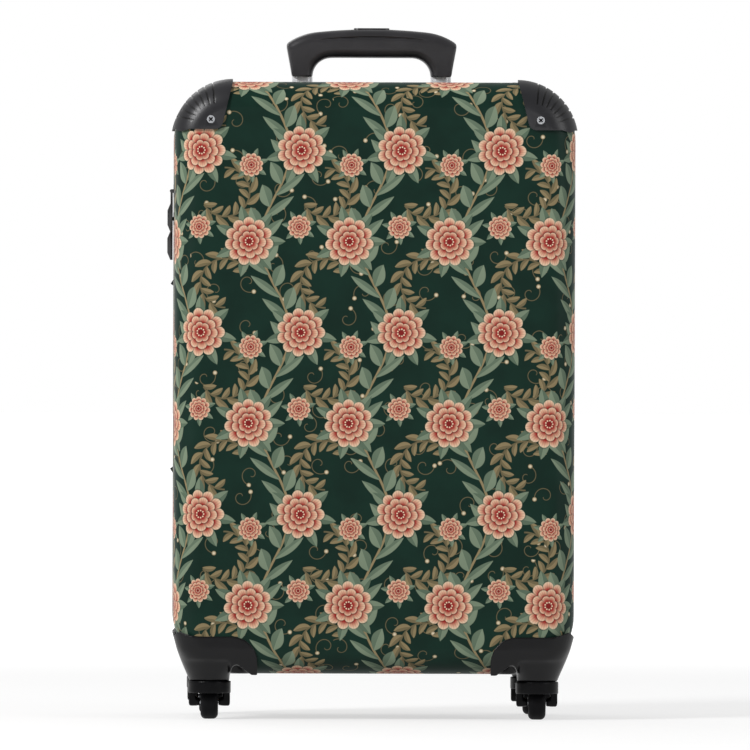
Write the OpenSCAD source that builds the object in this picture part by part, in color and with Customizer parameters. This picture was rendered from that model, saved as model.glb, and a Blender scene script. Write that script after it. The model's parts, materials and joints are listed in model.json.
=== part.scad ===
// Hard-shell cabin suitcase on four swivelling casters, with a telescopic trolley handle.
// Two moulded half shells are joined by a zip on three sides and a fabric hinge on the right side.
// Frame: origin on the floor under the middle of the case, +X to the right of someone who faces
// the front, +Y to the back, +Z up. The trolley handle is drawn a little way out of its cup.

/* [Case] */
// Width of the shells
case_w = 344; // [300:1:400]
// Height of the shells
case_h = 508; // [460:1:560]
// Depth over both shells
case_d = 226; // [200:1:260]
// Corner radius of the shells, seen from the front
corner_r = 50; // [46:1:60]
// Radius of the rounded edge between a face and the sides
edge_r = 22; // [16:1:26]
// Wall of the shells
wall = 2.5; // [1.5:0.1:3.5]
// Gap between the two rims that the zip fills
zip_gap = 22; // [18:1:28]

/* [Corner guards] */
// Wall of the guards
guard_t = 2.4; // [2:0.1:3.2]
// Reach of a guard along the top edge
guard_w = 49.5; // [44:0.5:60]
// Reach of a guard down the face
guard_h = 41; // [36:1:50]
// Lean of the guard's inner edge
guard_lean = 10; // [3:0.5:12]
// Corner radius of the guard's outline
guard_fillet = 7; // [3:0.5:9]
// Drop of the guard's tip on the rounded edge
guard_tip = 5; // [2:0.5:8]
// Grooves round the corner of a guard
groove_count = 7; // [4:1:9]
// Width of a groove
groove_w = 1.5; // [0.8:0.1:2]
// Depth of a groove
groove_depth = 0.9; // [0.4:0.1:1.2]
// Radius of the arc on which the grooves start
groove_start_r = 22; // [16:1:26]
// Head diameter of the guard screws
screw_head_d = 6.8; // [5:0.1:8]
// Shank diameter of the guard screws
screw_d = 3; // [2:0.1:4]

/* [Wheel housings] */
// Reach of a housing along the bottom edge
boot_w = 72; // [68:1:80]
// Height of a housing on the face
boot_h = 32; // [28:1:40]
// Further rise of the housing round the side
boot_rise = 9; // [4:0.5:12]
// Corner radius of the housing's outline
boot_fillet = 22; // [12:1:26]
// Diameter of the round neck that carries the caster
neck_d = 34.6; // [30:0.2:36]
// Length of the neck below the shells
neck_drop = 6.2; // [5:0.2:12]

/* [Casters] */
// Diameter of the wheels
wheel_d = 30; // [26:0.5:32]
// Width of the wheels
wheel_w = 15; // [12:0.5:16]
// Diameter of the wheel hubs
hub_d = 19; // [16:0.5:20]
// Diameter of the axles
axle_d = 4; // [3:0.2:5]
// Distance of a wheel's axle behind its swivel axis
trail = 7; // [4:0.5:8]
// Diameter of the fork's hood
hood_d = 36.8; // [36:0.2:40]
// Wall of the hood
hood_wall = 2.1; // [1.5:0.1:2.6]
// Thickness of the fork's crown
crown_t = 2.2; // [1.8:0.1:4]
// Height of the hood's lower edge above the floor
skirt_z = 22.4; // [20:0.2:25]
// Width of a fork leg
leg_w = 8; // [7:0.5:9]
// Diameter of the swivel pins
pin_d = 6; // [4:0.5:8]
// Distance of the swivel axes from the sides and faces of the shells
swivel_inset = 31.2; // [30:0.2:33]

/* [Trolley] */
// Distance between the two tubes
tube_spacing = 120.6; // [100:0.2:130]
// Width of the moving tubes
tube_w = 17.8; // [15:0.2:20]
// Depth of the moving tubes
tube_d = 12; // [10:0.2:14]
// Wall of all tubes
tube_wall = 1.1; // [0.8:0.1:1.6]
// Height that the handle is drawn out of its cup
handle_out = 47; // [20:0.5:120]
// Width of the grip
grip_w = 149; // [143:0.2:152]
// Height of the grip
grip_h = 41.4; // [38:0.2:46]
// Depth of the grip
grip_d = 24; // [20:0.5:28]
// Height of the finger gap under the grip
grip_gap = 16.4; // [12:0.2:20]
// Depth of the cup that takes the grip
cup_depth = 40; // [34:1:46]
// Length of the release button
button_w = 31; // [24:0.5:40]
// Width of the release button
button_d = 9; // [6:0.5:10]

/* [Zip] */
// Width of one half of the zip's coil
coil_w = 3; // [2.4:0.1:3.6]
// Thickness of the coil
coil_t = 3; // [2.4:0.1:3.4]
// Thickness of the zip tapes and the hinge tape
tape_t = 1.2; // [0.8:0.1:1.6]
// Height of the upper slider
slider_upper_z = 454; // [440:1:470]
// Height of the lower slider
slider_lower_z = 430; // [400:1:432]
// Length of a pull tab
tab_len = 25; // [20:0.5:28]

/* [Inside] */
// Thickness of the linings
lining_t = 1; // [0.6:0.1:1.6]
// Width of the packing straps
strap_w = 25; // [18:1:32]
// Thickness of the packing straps
strap_t = 1.2; // [0.8:0.1:2]
// Width of the mesh pocket
pocket_w = 270; // [200:1:290]
// Height of the mesh pocket
pocket_h = 210; // [140:1:280]

/* [Hidden] */

$fn = 64;
// Overrun of all cuts
overrun = 3;
// Running clearance between flat faces that slide or turn past each other
run_gap = 0.3;
// Radial clearance of pins in their bores
pin_fit = 0.05;

// Heights of the caster, from the floor up to the shells
wheel_gap = 0.8;
axle_z = wheel_d/2;
crown_z = wheel_d + wheel_gap;
crown_top = crown_z + crown_t;
neck_z = crown_top + run_gap;
case_z = neck_z + neck_drop;
case_top = case_z + case_h;
case_mid = case_z + case_h/2;
half_d = case_d/2;
half_w = case_w/2;
swivel_x = half_w - swivel_inset;
swivel_y = half_d - swivel_inset;

// Corner guards: flare of the tip, place of the screw and of the fan of grooves
guard_flare = 12;
guard_round = 18;
groove_len = 44;
groove_first = 17;
groove_step = 11.2;
groove_at = [14, 10];
screw_at = [19.5, 17.5];
screw_head_t = 1.6;
screw_sink = 0.1;
screw_slot_w = 1.3;
screw_slot_l = 4.4;
screw_slot_t = 1.2;

// Wheel housings: lip under the shell, lap over the shell's cut-out, taper and arch beside the neck
boot_lip = 1;
boot_lap = 4.5;
boot_block_h = 16.5;
boot_waist = 20.5;
boot_foot = 11.7;
boot_waist_in = 3;
boot_side_in = 6.3;
boot_under_in = 14.2;
boot_face_in = 3;
boot_edge_r = 22;
boot_rise_w = 24;
boot_skin = 0.6;
neck_reach = swivel_inset + neck_d/2;
arch_h = 7.8;
arch_r = 4;
arch_at = 5.4;
arch_ends = [25, 130];
arch_in = 12;
boot_tip = 5;
pin_len = 20;
pin_room = 0.5;

// Caster details
leg_in = 11.4;
boss_d = 7.6;
slot_gap = 1.2;
tread_r = 4.5;
hub_w = 13;
hub_dish = 3;
hub_rim = 1.6;
hub_core_d = 9;
axle_len = 31;

// Trolley details
tube_x = tube_spacing/2;
tube_gap = 0.4;
outer_w = tube_w + 2*(tube_gap + tube_wall);
outer_d = tube_d + 2*(tube_gap + tube_wall);
cup_wall = 2;
cup_gap = 3;
cup_w = grip_w + 2*(cup_gap + cup_wall);
cup_back = half_d - wall;
cup_d = grip_d + 2*(cup_gap + cup_wall);
cup_floor = case_top - cup_depth;
cup_t = 2.5;
tube_y = cup_back - cup_d/2;
bezel_t = 1.2;
bezel_w = 5;
grip_z = cup_floor + handle_out;
grip_socket = 14;
grip_arch_r = 450;
grip_bend = 48;
grip_shoulder_r = 54;
grip_cap_t = 7;
cap_seam = 0.01;
grip_edge_r = 7;
grip_finger_r = 7;
foot_h = 16;
foot_w = 150;
foot_socket = 8;
foot_d = 26;
foot_z = case_z + wall;
plug_h = 12;
plug_room = 4;
plug_gap = 0.2;
tube_top = grip_z;
tube_end = foot_z + foot_h - foot_socket + plug_room + plug_h + handle_out;
button_proud = 1;
button_h = 4.5;
button_gap = 0.2;
grip_top = grip_z + grip_h;

// Zip: the chain lies half a wall under the shells' outside; the tapes line the rims
coil_in = 1.5;
tape_lap = 12;
seam_gap = 0.15;
hinge_end = 60;
slider_len = 11;
slider_t = 1.8;
slider_flange = 1.2;
ear_t = 1;
ear_gap = 1.7;
ear_out = 1.6;
zip_pin_d = 1.6;
barrel_d = 3.2;
link_t = 2;
link_len = 8;
link_bar = 2.6;
tab_w = 6.2;
tab_t = 4.6;
tab_play = 0.2;
tab_clear = 1;
tab_taper_share = 0.25;

// Linings, straps and pocket
lining_rim = 5;
lining_room = 0.5;
lining_o = -wall - tape_t;
strap_fall = 105;
strap_pad = 0.2;
buckle_w = 34;
buckle_l = 26;
buckle_t = 8;
buckle_tongue = 12;
buckle_wall = 2;
buckle_gap = 0.2;
pocket_t = 1;
pocket_rise = 70;
pocket_z = case_z + pocket_rise;

shell_green = "#1c3a30";
satin_black = "#26272a";
deep_black = "#17171a";
steel = "#c9ccd1";
fabric_black = "#1f2023";
lining_grey = "#3c4043";
rubber_grey = "#2b2c2f";
hub_grey = "#55585c";

// Points of an arc of radius r round c, from angle a to angle b
function arc(c, r, a, b, n = 8) = [for (i = [0:n]) c + r*[cos(a + (b - a)*i/n), sin(a + (b - a)*i/n)]];

// Half frames: x to the right, y up and z out of the face of that half
module front_half() {
    rotate([90, 0, 0]) children();
}

module back_half() {
    mirror([0, 1, 0]) front_half() children();
}

// Corner frames inside a half frame: the origin is the centre of the corner's arc at the seam plane,
// x points out through the side, y out through the top or the bottom, z out through the face
module at_corner(side, end) {
    translate([side*(half_w - corner_r), case_mid + end*(case_h/2 - corner_r), 0])
        mirror([side < 0 ? 1 : 0, 0, 0]) mirror([0, end < 0 ? 1 : 0, 0]) children();
}

// Section of a shell edge at offset o: as deep as the corner, with the rounded edge to the face
module edge_section(o, rim) {
    r = edge_r + o;
    reach = corner_r + o;
    top = half_d + o;
    difference() {
        translate([0, rim]) square([reach, top - rim]);
        translate([reach - r, top - r]) difference() {
            square(r + overrun);
            circle(r);
        }
    }
}

// Solid form of one half at offset o from the shell's outside, from the plane rim to the face
module half_form(o, rim) {
    w = case_w - 2*corner_r;
    h = case_h - 2*corner_r;
    translate([0, case_mid, 0]) {
        translate([-w/2, -h/2, rim]) cube([w, h, half_d + o - rim]);
        for (turn = [0, 180]) rotate([0, 0, turn]) {
            translate([w/2, 0, 0]) rotate([90, 0, 0]) linear_extrude(h, center = true) edge_section(o, rim);
            translate([0, h/2, 0]) rotate([0, 0, 90]) rotate([90, 0, 0])
                linear_extrude(w, center = true) edge_section(o, rim);
            translate([w/2, h/2, 0]) rotate_extrude(angle = 90) edge_section(o, rim);
            translate([-w/2, h/2, 0]) rotate([0, 0, 90]) rotate_extrude(angle = 90) edge_section(o, rim);
        }
    }
}

// The same form at one corner only, in its corner frame, running on by reach past the arc's centre
module corner_form(o, rim, reach) {
    rotate_extrude(angle = 90) edge_section(o, rim);
    rotate([90, 0, 0]) linear_extrude(reach) edge_section(o, rim);
    mirror([1, -1, 0]) rotate([90, 0, 0]) linear_extrude(reach) edge_section(o, rim);
    translate([-reach, -reach, rim]) cube([reach, reach, half_d + o - rim]);
}

// Straight band that follows the case's outline between two offsets, from z = a to z = b
module outline_prism(o, a, b) {
    w = case_w - 2*corner_r;
    h = case_h - 2*corner_r;
    r = corner_r + o;
    translate([0, case_mid, a]) {
        translate([-w/2 - r, -h/2, 0]) cube([w + 2*r, h, b - a]);
        for (turn = [0, 180]) rotate([0, 0, turn]) {
            translate([-w/2, h/2, 0]) cube([w, r, b - a]);
            translate([w/2, h/2, 0]) rotate_extrude(angle = 90) square([r, b - a]);
            translate([-w/2, h/2, 0]) rotate([0, 0, 90]) rotate_extrude(angle = 90) square([r, b - a]);
        }
    }
}

module band(outer, inner, a, b) {
    difference() {
        outline_prism(outer, a, b);
        outline_prism(inner, a - overrun, b + overrun);
    }
}

// Corner block with a quarter-round inner corner on the swivel axis, in a bottom corner frame.
// It reaches w in from the side and from the face, and h up from the bottom of the shells.
module swivel_block(w, h, out = 0) {
    inner = w - swivel_inset;
    translate([corner_r - swivel_inset, corner_r + out, half_d - swivel_inset]) rotate([90, 0, 0]) {
        rotate([0, 0, 180]) rotate_extrude(angle = 90) square([inner, h + out]);
        translate([-inner, 0, 0]) cube([inner + swivel_inset + overrun, swivel_inset + overrun, h + out]);
        translate([0, -inner, 0]) cube([swivel_inset + overrun, inner + overrun, h + out]);
    }
}

// Frame of a caster inside a bottom corner frame: origin on the floor under the swivel axis, z up
module at_swivel() {
    translate([corner_r - swivel_inset, corner_r + case_z, half_d - swivel_inset]) rotate([90, 0, 0]) children();
}

// Half shells

module shell_cuts() {
    for (side = [-1, 1]) {
        at_corner(side, -1) swivel_block(boot_w - boot_lap, boot_block_h, boot_lip + overrun);
        at_corner(side, 1) translate([screw_at.x, screw_at.y, half_d - wall - overrun])
            cylinder(d = screw_d + 2*pin_fit, h = wall + 2*overrun);
    }
}

module half_shell() {
    difference() {
        half_form(0, zip_gap/2);
        half_form(-wall, zip_gap/2 - overrun);
        shell_cuts();
    }
}

module back_shell() {
    color(shell_green) difference() {
        back_half() half_shell();
        cup_room(0);
    }
}

module front_shell() {
    color(shell_green) front_half() half_shell();
}

// Corner guards: a moulded cap over each top corner, with a fan of grooves round the corner

function guard_lean_angle() = atan(guard_lean/guard_h);

function guard_outline() =
    let (foot = [corner_r - guard_w + guard_lean, corner_r - guard_h],
         lean = guard_lean_angle(),
         mid = foot + guard_fillet*[(1 - sin(lean))/cos(lean), 1],
         out = corner_r + guard_t + overrun)
    concat([[out, out], [corner_r - guard_w, out], [corner_r - guard_w, corner_r]],
        arc(mid, guard_fillet, 180 + lean, 270),
        [[corner_r - guard_flare, corner_r - guard_h], [out, corner_r - guard_h - guard_tip]]);

function guard_plan() =
    let (in = corner_r - guard_w, out = corner_r + guard_t + overrun)
    concat([[out, out], [in, out]], arc([in + guard_round, in + guard_round], guard_round, 180, 270), [[out, in]]);

// Outline of the guard on the face, on the side and on the top
module guard_block() {
    low = half_d - corner_r;
    intersection() {
        linear_extrude(half_d + guard_t + overrun) polygon(guard_outline());
        translate([-corner_r, 0, low]) rotate([90, 0, 90]) linear_extrude(2*corner_r + guard_t + overrun)
            polygon([for (p = guard_outline()) [p.y, p.x]]);
        translate([0, corner_r + guard_t + overrun, low]) rotate([90, 0, 0])
            linear_extrude(guard_h + guard_tip + guard_t + 2*overrun) polygon(guard_plan());
    }
}

module guard_grooves() {
    difference() {
        for (i = [0:groove_count - 1])
            translate([groove_at.x, groove_at.y, half_d - guard_w - overrun])
                rotate([0, 0, groove_first + i*groove_step]) translate([groove_start_r, 0, 0]) {
                    translate([0, -groove_w/2, 0]) cube([groove_len, groove_w, guard_w + guard_t + 2*overrun]);
                    cylinder(d = groove_w, h = guard_w + guard_t + 2*overrun);
                }
        corner_form(guard_t - groove_depth, half_d - guard_w - 2*overrun, corner_r);
    }
}

module corner_guard(side) {
    at_corner(side, 1) difference() {
        intersection() {
            difference() {
                corner_form(guard_t, half_d - guard_w - overrun, corner_r);
                corner_form(0, half_d - guard_w - 2*overrun, corner_r + overrun);
            }
            guard_block();
        }
        guard_grooves();
        translate([screw_at.x, screw_at.y, half_d - overrun])
            cylinder(d = screw_d + 2*pin_fit, h = guard_t + 2*overrun);
        translate([screw_at.x, screw_at.y, half_d + guard_t - screw_head_t - screw_sink])
            cylinder(d = screw_head_d + 2*run_gap, h = guard_t + overrun);
    }
}

// Cross-head screws, their heads sunk in the guards
module guard_screws() {
    head = half_d + guard_t - screw_sink;
    for (side = [-1, 1]) at_corner(side, 1) translate([screw_at.x, screw_at.y, 0]) difference() {
        union() {
            translate([0, 0, head - screw_head_t]) cylinder(d = screw_head_d, h = screw_head_t);
            translate([0, 0, half_d - wall]) cylinder(d = screw_d, h = head - screw_head_t - half_d + wall);
        }
        for (turn = [45, 135]) rotate([0, 0, turn])
            translate([-screw_slot_l/2, -screw_slot_w/2, head - screw_slot_t])
                cube([screw_slot_l, screw_slot_w, screw_slot_t + overrun]);
    }
}

module corner_guard_front_left() {
    color(satin_black) front_half() corner_guard(-1);
}

module corner_guard_front_right() {
    color(satin_black) front_half() corner_guard(1);
}

module corner_guard_back_left() {
    color(satin_black) back_half() corner_guard(-1);
}

module corner_guard_back_right() {
    color(satin_black) back_half() corner_guard(1);
}

module front_guard_screws() {
    color(steel) front_half() guard_screws();
}

module back_guard_screws() {
    color(steel) back_half() guard_screws();
}

// Wheel housings: a tapered boot round each bottom corner, drawn down to a round neck

function boot_outline() =
    let (in = corner_r - boot_w, top = corner_r - boot_h, out = corner_r + guard_t + overrun,
         run = boot_rise_w + guard_t, rise_r = (run^2 + boot_rise^2)/(2*boot_rise))
    concat([[out, corner_r + boot_lip], [in, corner_r + boot_lip]],
        arc([in + boot_fillet, top + boot_fillet], boot_fillet, 180, 270),
        arc([corner_r - boot_rise_w, top - rise_r], rise_r, 90, 90 - asin(run/rise_r), 6),
        [[out, top - boot_rise]]);

// One level of the boot's taper: a square with its outer corner rounded, v above the shells' bottom
module boot_level(v, side_out, face_out, reach) {
    x = corner_r + side_out;
    z = half_d + face_out;
    r = boot_edge_r;
    inner = corner_r - reach;
    back = half_d - reach;
    translate([0, corner_r - v, 0]) rotate([90, 0, 0]) linear_extrude(boot_skin)
        polygon(concat([[inner, back], [x, back]], arc([x - r, z - r], r, 0, 90, 10), [[inner, z]]));
}

module boot_taper() {
    reach = boot_w + overrun;
    hull() {
        boot_level(boot_h + boot_rise, guard_t, guard_t, reach);
        boot_level(boot_waist, -boot_waist_in, guard_t, reach);
        boot_level(boot_foot, -boot_side_in, -boot_face_in, reach);
        boot_level(-boot_lip, -boot_under_in, -boot_face_in, reach);
    }
}

// Foot of the boot: its outer corner drawn in to the round neck
module boot_neck() {
    hull() {
        boot_level(boot_foot, -boot_side_in, -boot_face_in, neck_reach);
        at_swivel() translate([0, 0, neck_z]) cylinder(d = neck_d, h = neck_drop - boot_lip);
    }
}

// Outline of the arch between the neck and the boot's inner tip, to cut away
function arch_outline() =
    let (neck = corner_r - neck_reach, low = corner_r + boot_lip, tip = corner_r - boot_w + boot_tip)
    concat([[tip, low + overrun], [neck, low + overrun], [neck, low]],
        [for (p = arc([neck - arch_at, arch_h - arch_r], arch_r, arch_ends[0], arch_ends[1], 8))
            [p.x, corner_r - p.y]],
        [[tip, low]]);

// Arches beside the neck in the face and in the side, and the room round the foot of the boot
module boot_cuts() {
    run = swivel_inset + arch_in + overrun;
    room = neck_reach + overrun;
    translate([0, 0, half_d + overrun - run]) linear_extrude(run) polygon(arch_outline());
    translate([corner_r + overrun - run, 0, half_d - corner_r]) rotate([90, 0, 90]) linear_extrude(run)
        polygon([for (p = arch_outline()) [p.y, p.x]]);
    translate([corner_r - neck_reach, corner_r - boot_foot, half_d - neck_reach])
        cube([room, boot_foot + boot_lip + overrun, room]);
}

module wheel_housing(side) {
    pad = corner_r + boot_w;
    at_corner(side, -1) difference() {
        union() {
            difference() {
                intersection() {
                    boot_taper();
                    translate([0, 0, half_d - pad]) linear_extrude(pad + guard_t + overrun)
                        polygon(boot_outline());
                    translate([-boot_w, 0, half_d - corner_r]) rotate([90, 0, 90])
                        linear_extrude(2*boot_w) polygon([for (p = boot_outline()) [p.y, p.x]]);
                    swivel_block(boot_w, boot_h + boot_rise + overrun, boot_lip + overrun);
                }
                difference() {
                    corner_form(0, half_d - pad, boot_w);
                    swivel_block(boot_w - boot_lap, boot_block_h, boot_lip + overrun);
                }
                boot_cuts();
            }
            boot_neck();
        }
        at_swivel() translate([0, 0, neck_z - overrun])
            cylinder(d = pin_d + 2*pin_fit, h = pin_len - crown_t + pin_room + overrun);
    }
}

module wheel_housing_front_left() {
    color(deep_black) front_half() wheel_housing(-1);
}

module wheel_housing_front_right() {
    color(deep_black) front_half() wheel_housing(1);
}

module wheel_housing_back_left() {
    color(deep_black) back_half() wheel_housing(-1);
}

module wheel_housing_back_right() {
    color(deep_black) back_half() wheel_housing(1);
}

// Casters: a hooded fork on a swivel pin, an axle and a wheel that trails behind the pin

module at_caster(side, end) {
    translate([side*swivel_x, end*swivel_y, 0]) children();
}

module at_axle() {
    translate([0, trail, axle_z]) rotate([0, 90, 0]) children();
}

module fork_leg() {
    r = hood_d/2;
    intersection() {
        translate([0, 0, axle_z - leg_w]) cylinder(d = hood_d, h = crown_top - axle_z + leg_w);
        union() {
            translate([leg_in, trail - leg_w/2, axle_z]) cube([r, leg_w, crown_top - axle_z]);
            translate([leg_in, trail, axle_z]) rotate([0, 90, 0]) rotate([0, 0, -90])
                rotate_extrude(angle = 180) square([leg_w/2, r]);
        }
    }
    translate([wheel_w/2 + run_gap, trail, axle_z]) rotate([0, 90, 0])
        cylinder(d = boss_d, h = leg_in - wheel_w/2 - run_gap);
}

module fork() {
    slot = wheel_w + 2*slot_gap;
    difference() {
        union() {
            difference() {
                translate([0, 0, skirt_z]) cylinder(d = hood_d, h = crown_top - skirt_z);
                translate([0, 0, skirt_z - overrun])
                    cylinder(d = hood_d - 2*hood_wall, h = crown_z - skirt_z + overrun);
                translate([-slot/2, 0, skirt_z - overrun])
                    cube([slot, hood_d, crown_z - skirt_z + overrun]);
            }
            fork_leg();
            mirror([1, 0, 0]) fork_leg();
        }
        translate([0, 0, crown_z - overrun]) cylinder(d = pin_d + pin_fit, h = crown_t + 2*overrun);
        at_axle() cylinder(d = axle_d + pin_fit, h = axle_len, center = true);
    }
}

module swivel_pin() {
    translate([0, 0, crown_z]) cylinder(d = pin_d, h = pin_len);
}

module axle() {
    at_axle() cylinder(d = axle_d, h = axle_len, center = true);
}

module hub() {
    at_axle() rotate_extrude() polygon([
        [axle_d/2 + pin_fit, -wheel_w/2], [hub_core_d/2, -wheel_w/2], [hub_core_d/2, -hub_w/2 + hub_dish],
        [hub_d/2 - hub_rim, -hub_w/2 + hub_dish], [hub_d/2 - hub_rim, -hub_w/2], [hub_d/2, -hub_w/2],
        [hub_d/2, hub_w/2], [hub_d/2 - hub_rim, hub_w/2], [hub_d/2 - hub_rim, hub_w/2 - hub_dish],
        [hub_core_d/2, hub_w/2 - hub_dish], [hub_core_d/2, wheel_w/2], [axle_d/2 + pin_fit, wheel_w/2]]);
}

module tyre() {
    r = wheel_d/2;
    at_axle() rotate_extrude() difference() {
        translate([hub_d/2, -wheel_w/2]) square([r - hub_d/2, wheel_w]);
        for (flip = [0, 1]) mirror([0, flip]) translate([r - tread_r, wheel_w/2 - tread_r]) difference() {
            square(tread_r + overrun);
            circle(tread_r);
        }
    }
}

module fork_front_left() {
    color(deep_black) at_caster(-1, -1) fork();
}

module fork_front_right() {
    color(deep_black) at_caster(1, -1) fork();
}

module fork_back_left() {
    color(deep_black) at_caster(-1, 1) fork();
}

module fork_back_right() {
    color(deep_black) at_caster(1, 1) fork();
}

module swivel_pin_front_left() {
    color(steel) at_caster(-1, -1) swivel_pin();
}

module swivel_pin_front_right() {
    color(steel) at_caster(1, -1) swivel_pin();
}

module swivel_pin_back_left() {
    color(steel) at_caster(-1, 1) swivel_pin();
}

module swivel_pin_back_right() {
    color(steel) at_caster(1, 1) swivel_pin();
}

module axle_front_left() {
    color(steel) at_caster(-1, -1) axle();
}

module axle_front_right() {
    color(steel) at_caster(1, -1) axle();
}

module axle_back_left() {
    color(steel) at_caster(-1, 1) axle();
}

module axle_back_right() {
    color(steel) at_caster(1, 1) axle();
}

module hub_front_left() {
    color(hub_grey) at_caster(-1, -1) hub();
}

module hub_front_right() {
    color(hub_grey) at_caster(1, -1) hub();
}

module hub_back_left() {
    color(hub_grey) at_caster(-1, 1) hub();
}

module hub_back_right() {
    color(hub_grey) at_caster(1, 1) hub();
}

module tyre_front_left() {
    color(rubber_grey) at_caster(-1, -1) tyre();
}

module tyre_front_right() {
    color(rubber_grey) at_caster(1, -1) tyre();
}

module tyre_back_left() {
    color(rubber_grey) at_caster(-1, 1) tyre();
}

module tyre_back_right() {
    color(rubber_grey) at_caster(1, 1) tyre();
}

// Trolley: a cup in the top of the back shell, two fixed outer tubes and the handle that slides in them

// Room that the cup takes, grown on all sides by g
module cup_room(g) {
    translate([-cup_w/2 - g, cup_back - cup_d - g, cup_floor - cup_t - g])
        cube([cup_w + 2*g, cup_d + g, cup_depth + cup_t + overrun + g]);
}

// Prism of the tube's round-ended section, w wide and d deep
module obround(w, d, h) {
    translate([-(w - d)/2, -d/2, 0]) cube([w - d, d, h]);
    for (turn = [0, 180]) rotate([0, 0, turn]) translate([(w - d)/2, 0, 0]) rotate([0, 0, -90])
        rotate_extrude(angle = 180) square([d/2, h]);
}

module at_tube(side, z) {
    translate([side*tube_x, tube_y, z]) children();
}

module handle_cup() {
    bezel_low = case_top - edge_r + bezel_w/2;
    color(deep_black) difference() {
        union() {
            intersection() {
                cup_room(0);
                back_half() half_form(0, zip_gap/2);
            }
            intersection() {
                difference() {
                    back_half() half_form(bezel_t, zip_gap/2);
                    back_half() half_form(0, zip_gap/2 - overrun);
                }
                translate([-cup_w/2 - bezel_w, cup_back - cup_d - bezel_w, bezel_low])
                    cube([cup_w + 2*bezel_w, cup_d + 2*bezel_w + wall, edge_r + bezel_t + overrun]);
            }
        }
        translate([-cup_w/2 + cup_wall, cup_back - cup_d + cup_wall, cup_floor])
            cube([cup_w - 2*cup_wall, cup_d - 2*cup_wall, cup_depth + overrun]);
        for (side = [-1, 1]) at_tube(side, cup_floor - cup_t - overrun)
            obround(tube_w + 2*run_gap, tube_d + 2*run_gap, cup_t + 2*overrun);
    }
}

module outer_tube(side) {
    low = foot_z + foot_h - foot_socket;
    len = cup_floor - cup_t - low;
    color(steel) at_tube(side, low) difference() {
        obround(outer_w, outer_d, len);
        translate([0, 0, -overrun])
            obround(outer_w - 2*tube_wall, outer_d - 2*tube_wall, len + 2*overrun);
    }
}

module outer_tube_left() {
    outer_tube(-1);
}

module outer_tube_right() {
    outer_tube(1);
}

// Bracket in the bottom of the back shell that holds the outer tubes
module tube_foot() {
    color(deep_black) difference() {
        intersection() {
            translate([-foot_w/2, cup_back - cup_d/2 - foot_d/2, foot_z])
                cube([foot_w, cup_d/2 + foot_d/2, foot_h]);
            back_half() half_form(-wall, zip_gap/2);
        }
        for (side = [-1, 1]) at_tube(side, foot_z + foot_h - foot_socket)
            obround(outer_w + 2*pin_fit, outer_d + 2*pin_fit, foot_socket + overrun);
    }
}

module inner_tube(side) {
    color(steel) at_tube(side, tube_end) difference() {
        obround(tube_w, tube_d, tube_top - tube_end);
        translate([0, 0, -overrun])
            obround(tube_w - 2*tube_wall, tube_d - 2*tube_wall, tube_top - tube_end + 2*overrun);
    }
}

module inner_tube_left() {
    inner_tube(-1);
}

module inner_tube_right() {
    inner_tube(1);
}

// Guide plugs on the lower ends of the moving tubes
module tube_plugs() {
    color(deep_black) for (side = [-1, 1]) at_tube(side, tube_end - plug_h)
        obround(tube_w + 2*(tube_gap - plug_gap), tube_d + 2*(tube_gap - plug_gap), plug_h);
}

// Angles at which the grip's flat arch passes into its shoulders and at which the shoulders end
bend_angle = asin(grip_bend/grip_arch_r);
bend_at = [grip_bend - grip_shoulder_r*sin(bend_angle),
    grip_h - grip_arch_r + (grip_arch_r - grip_shoulder_r)*cos(bend_angle)];
shoulder_angle = asin((grip_w/2 - bend_at.x)/grip_shoulder_r);

// Frame of the grip: x to the right, y up from the feet of its legs, z out to the front
module at_grip() {
    translate([0, tube_y, grip_z]) front_half() children();
}

// Outline of the grip under its inlaid top, up one side, over the arch and down the other
function grip_outline() =
    let (right = concat([[tube_x + tube_w/2, 0],
             bend_at + grip_shoulder_r*[sin(shoulder_angle), cos(shoulder_angle)]],
             arc(bend_at, grip_shoulder_r - grip_cap_t, 90 - shoulder_angle, 90 - bend_angle, 8)),
         arch = arc([0, grip_h - grip_arch_r], grip_arch_r - grip_cap_t, 90 - bend_angle, 90 + bend_angle, 12))
    concat(right, [for (i = [1:len(arch) - 2]) arch[i]],
        [for (i = [len(right) - 1:-1:0]) [-right[i].x, right[i].y]]);

// Sweeps a section along the grip's arched top in three lengths; its x is the height over the top line
module along_arch() {
    translate([0, grip_h - grip_arch_r, 0]) rotate([0, 0, 90 - bend_angle])
        rotate_extrude(angle = 2*bend_angle) translate([grip_arch_r, 0]) children();
    for (flip = [0, 1]) mirror([flip, 0, 0]) translate([bend_at.x, bend_at.y, 0])
        rotate([0, 0, 90 - shoulder_angle]) rotate_extrude(angle = shoulder_angle - bend_angle - cap_seam)
            translate([grip_shoulder_r, 0]) children();
}

// Sweeps a section round the finger gap; its x is the distance into the grip from the gap's wall
module along_gap() {
    run = tube_x - tube_w/2 - grip_gap;
    translate([-run, grip_gap, 0]) rotate([90, 0, 90]) linear_extrude(2*run) children();
    for (flip = [0, 1]) mirror([flip, 0, 0]) translate([run, 0, 0])
        rotate_extrude(angle = 90) translate([grip_gap, 0]) children();
}

module finger_gap() {
    inner = tube_x - tube_w/2;
    run = inner - grip_gap;
    depth = grip_d + 2*overrun;
    translate([-inner, -overrun, -depth/2]) cube([2*inner, overrun, depth]);
    translate([-run, 0, -depth/2]) cube([2*run, grip_gap, depth]);
    for (flip = [0, 1]) mirror([flip, 0, 0]) translate([run, 0, -depth/2])
        rotate_extrude(angle = 90) square([grip_gap, depth]);
}

// Corner to cut off a section, so that it leaves an edge of radius r
module edge_cut(r) {
    difference() {
        square(r + overrun);
        circle(r);
    }
}

module gap_edges() {
    along_gap() for (flip = [0, 1]) mirror([0, flip]) translate([grip_finger_r, grip_d/2 - grip_finger_r])
        mirror([1, 0]) edge_cut(grip_finger_r);
}

module button_room(g, low, high) {
    translate([0, tube_y, low]) obround(button_w + 2*g, button_d + 2*g, high - low);
}

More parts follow.
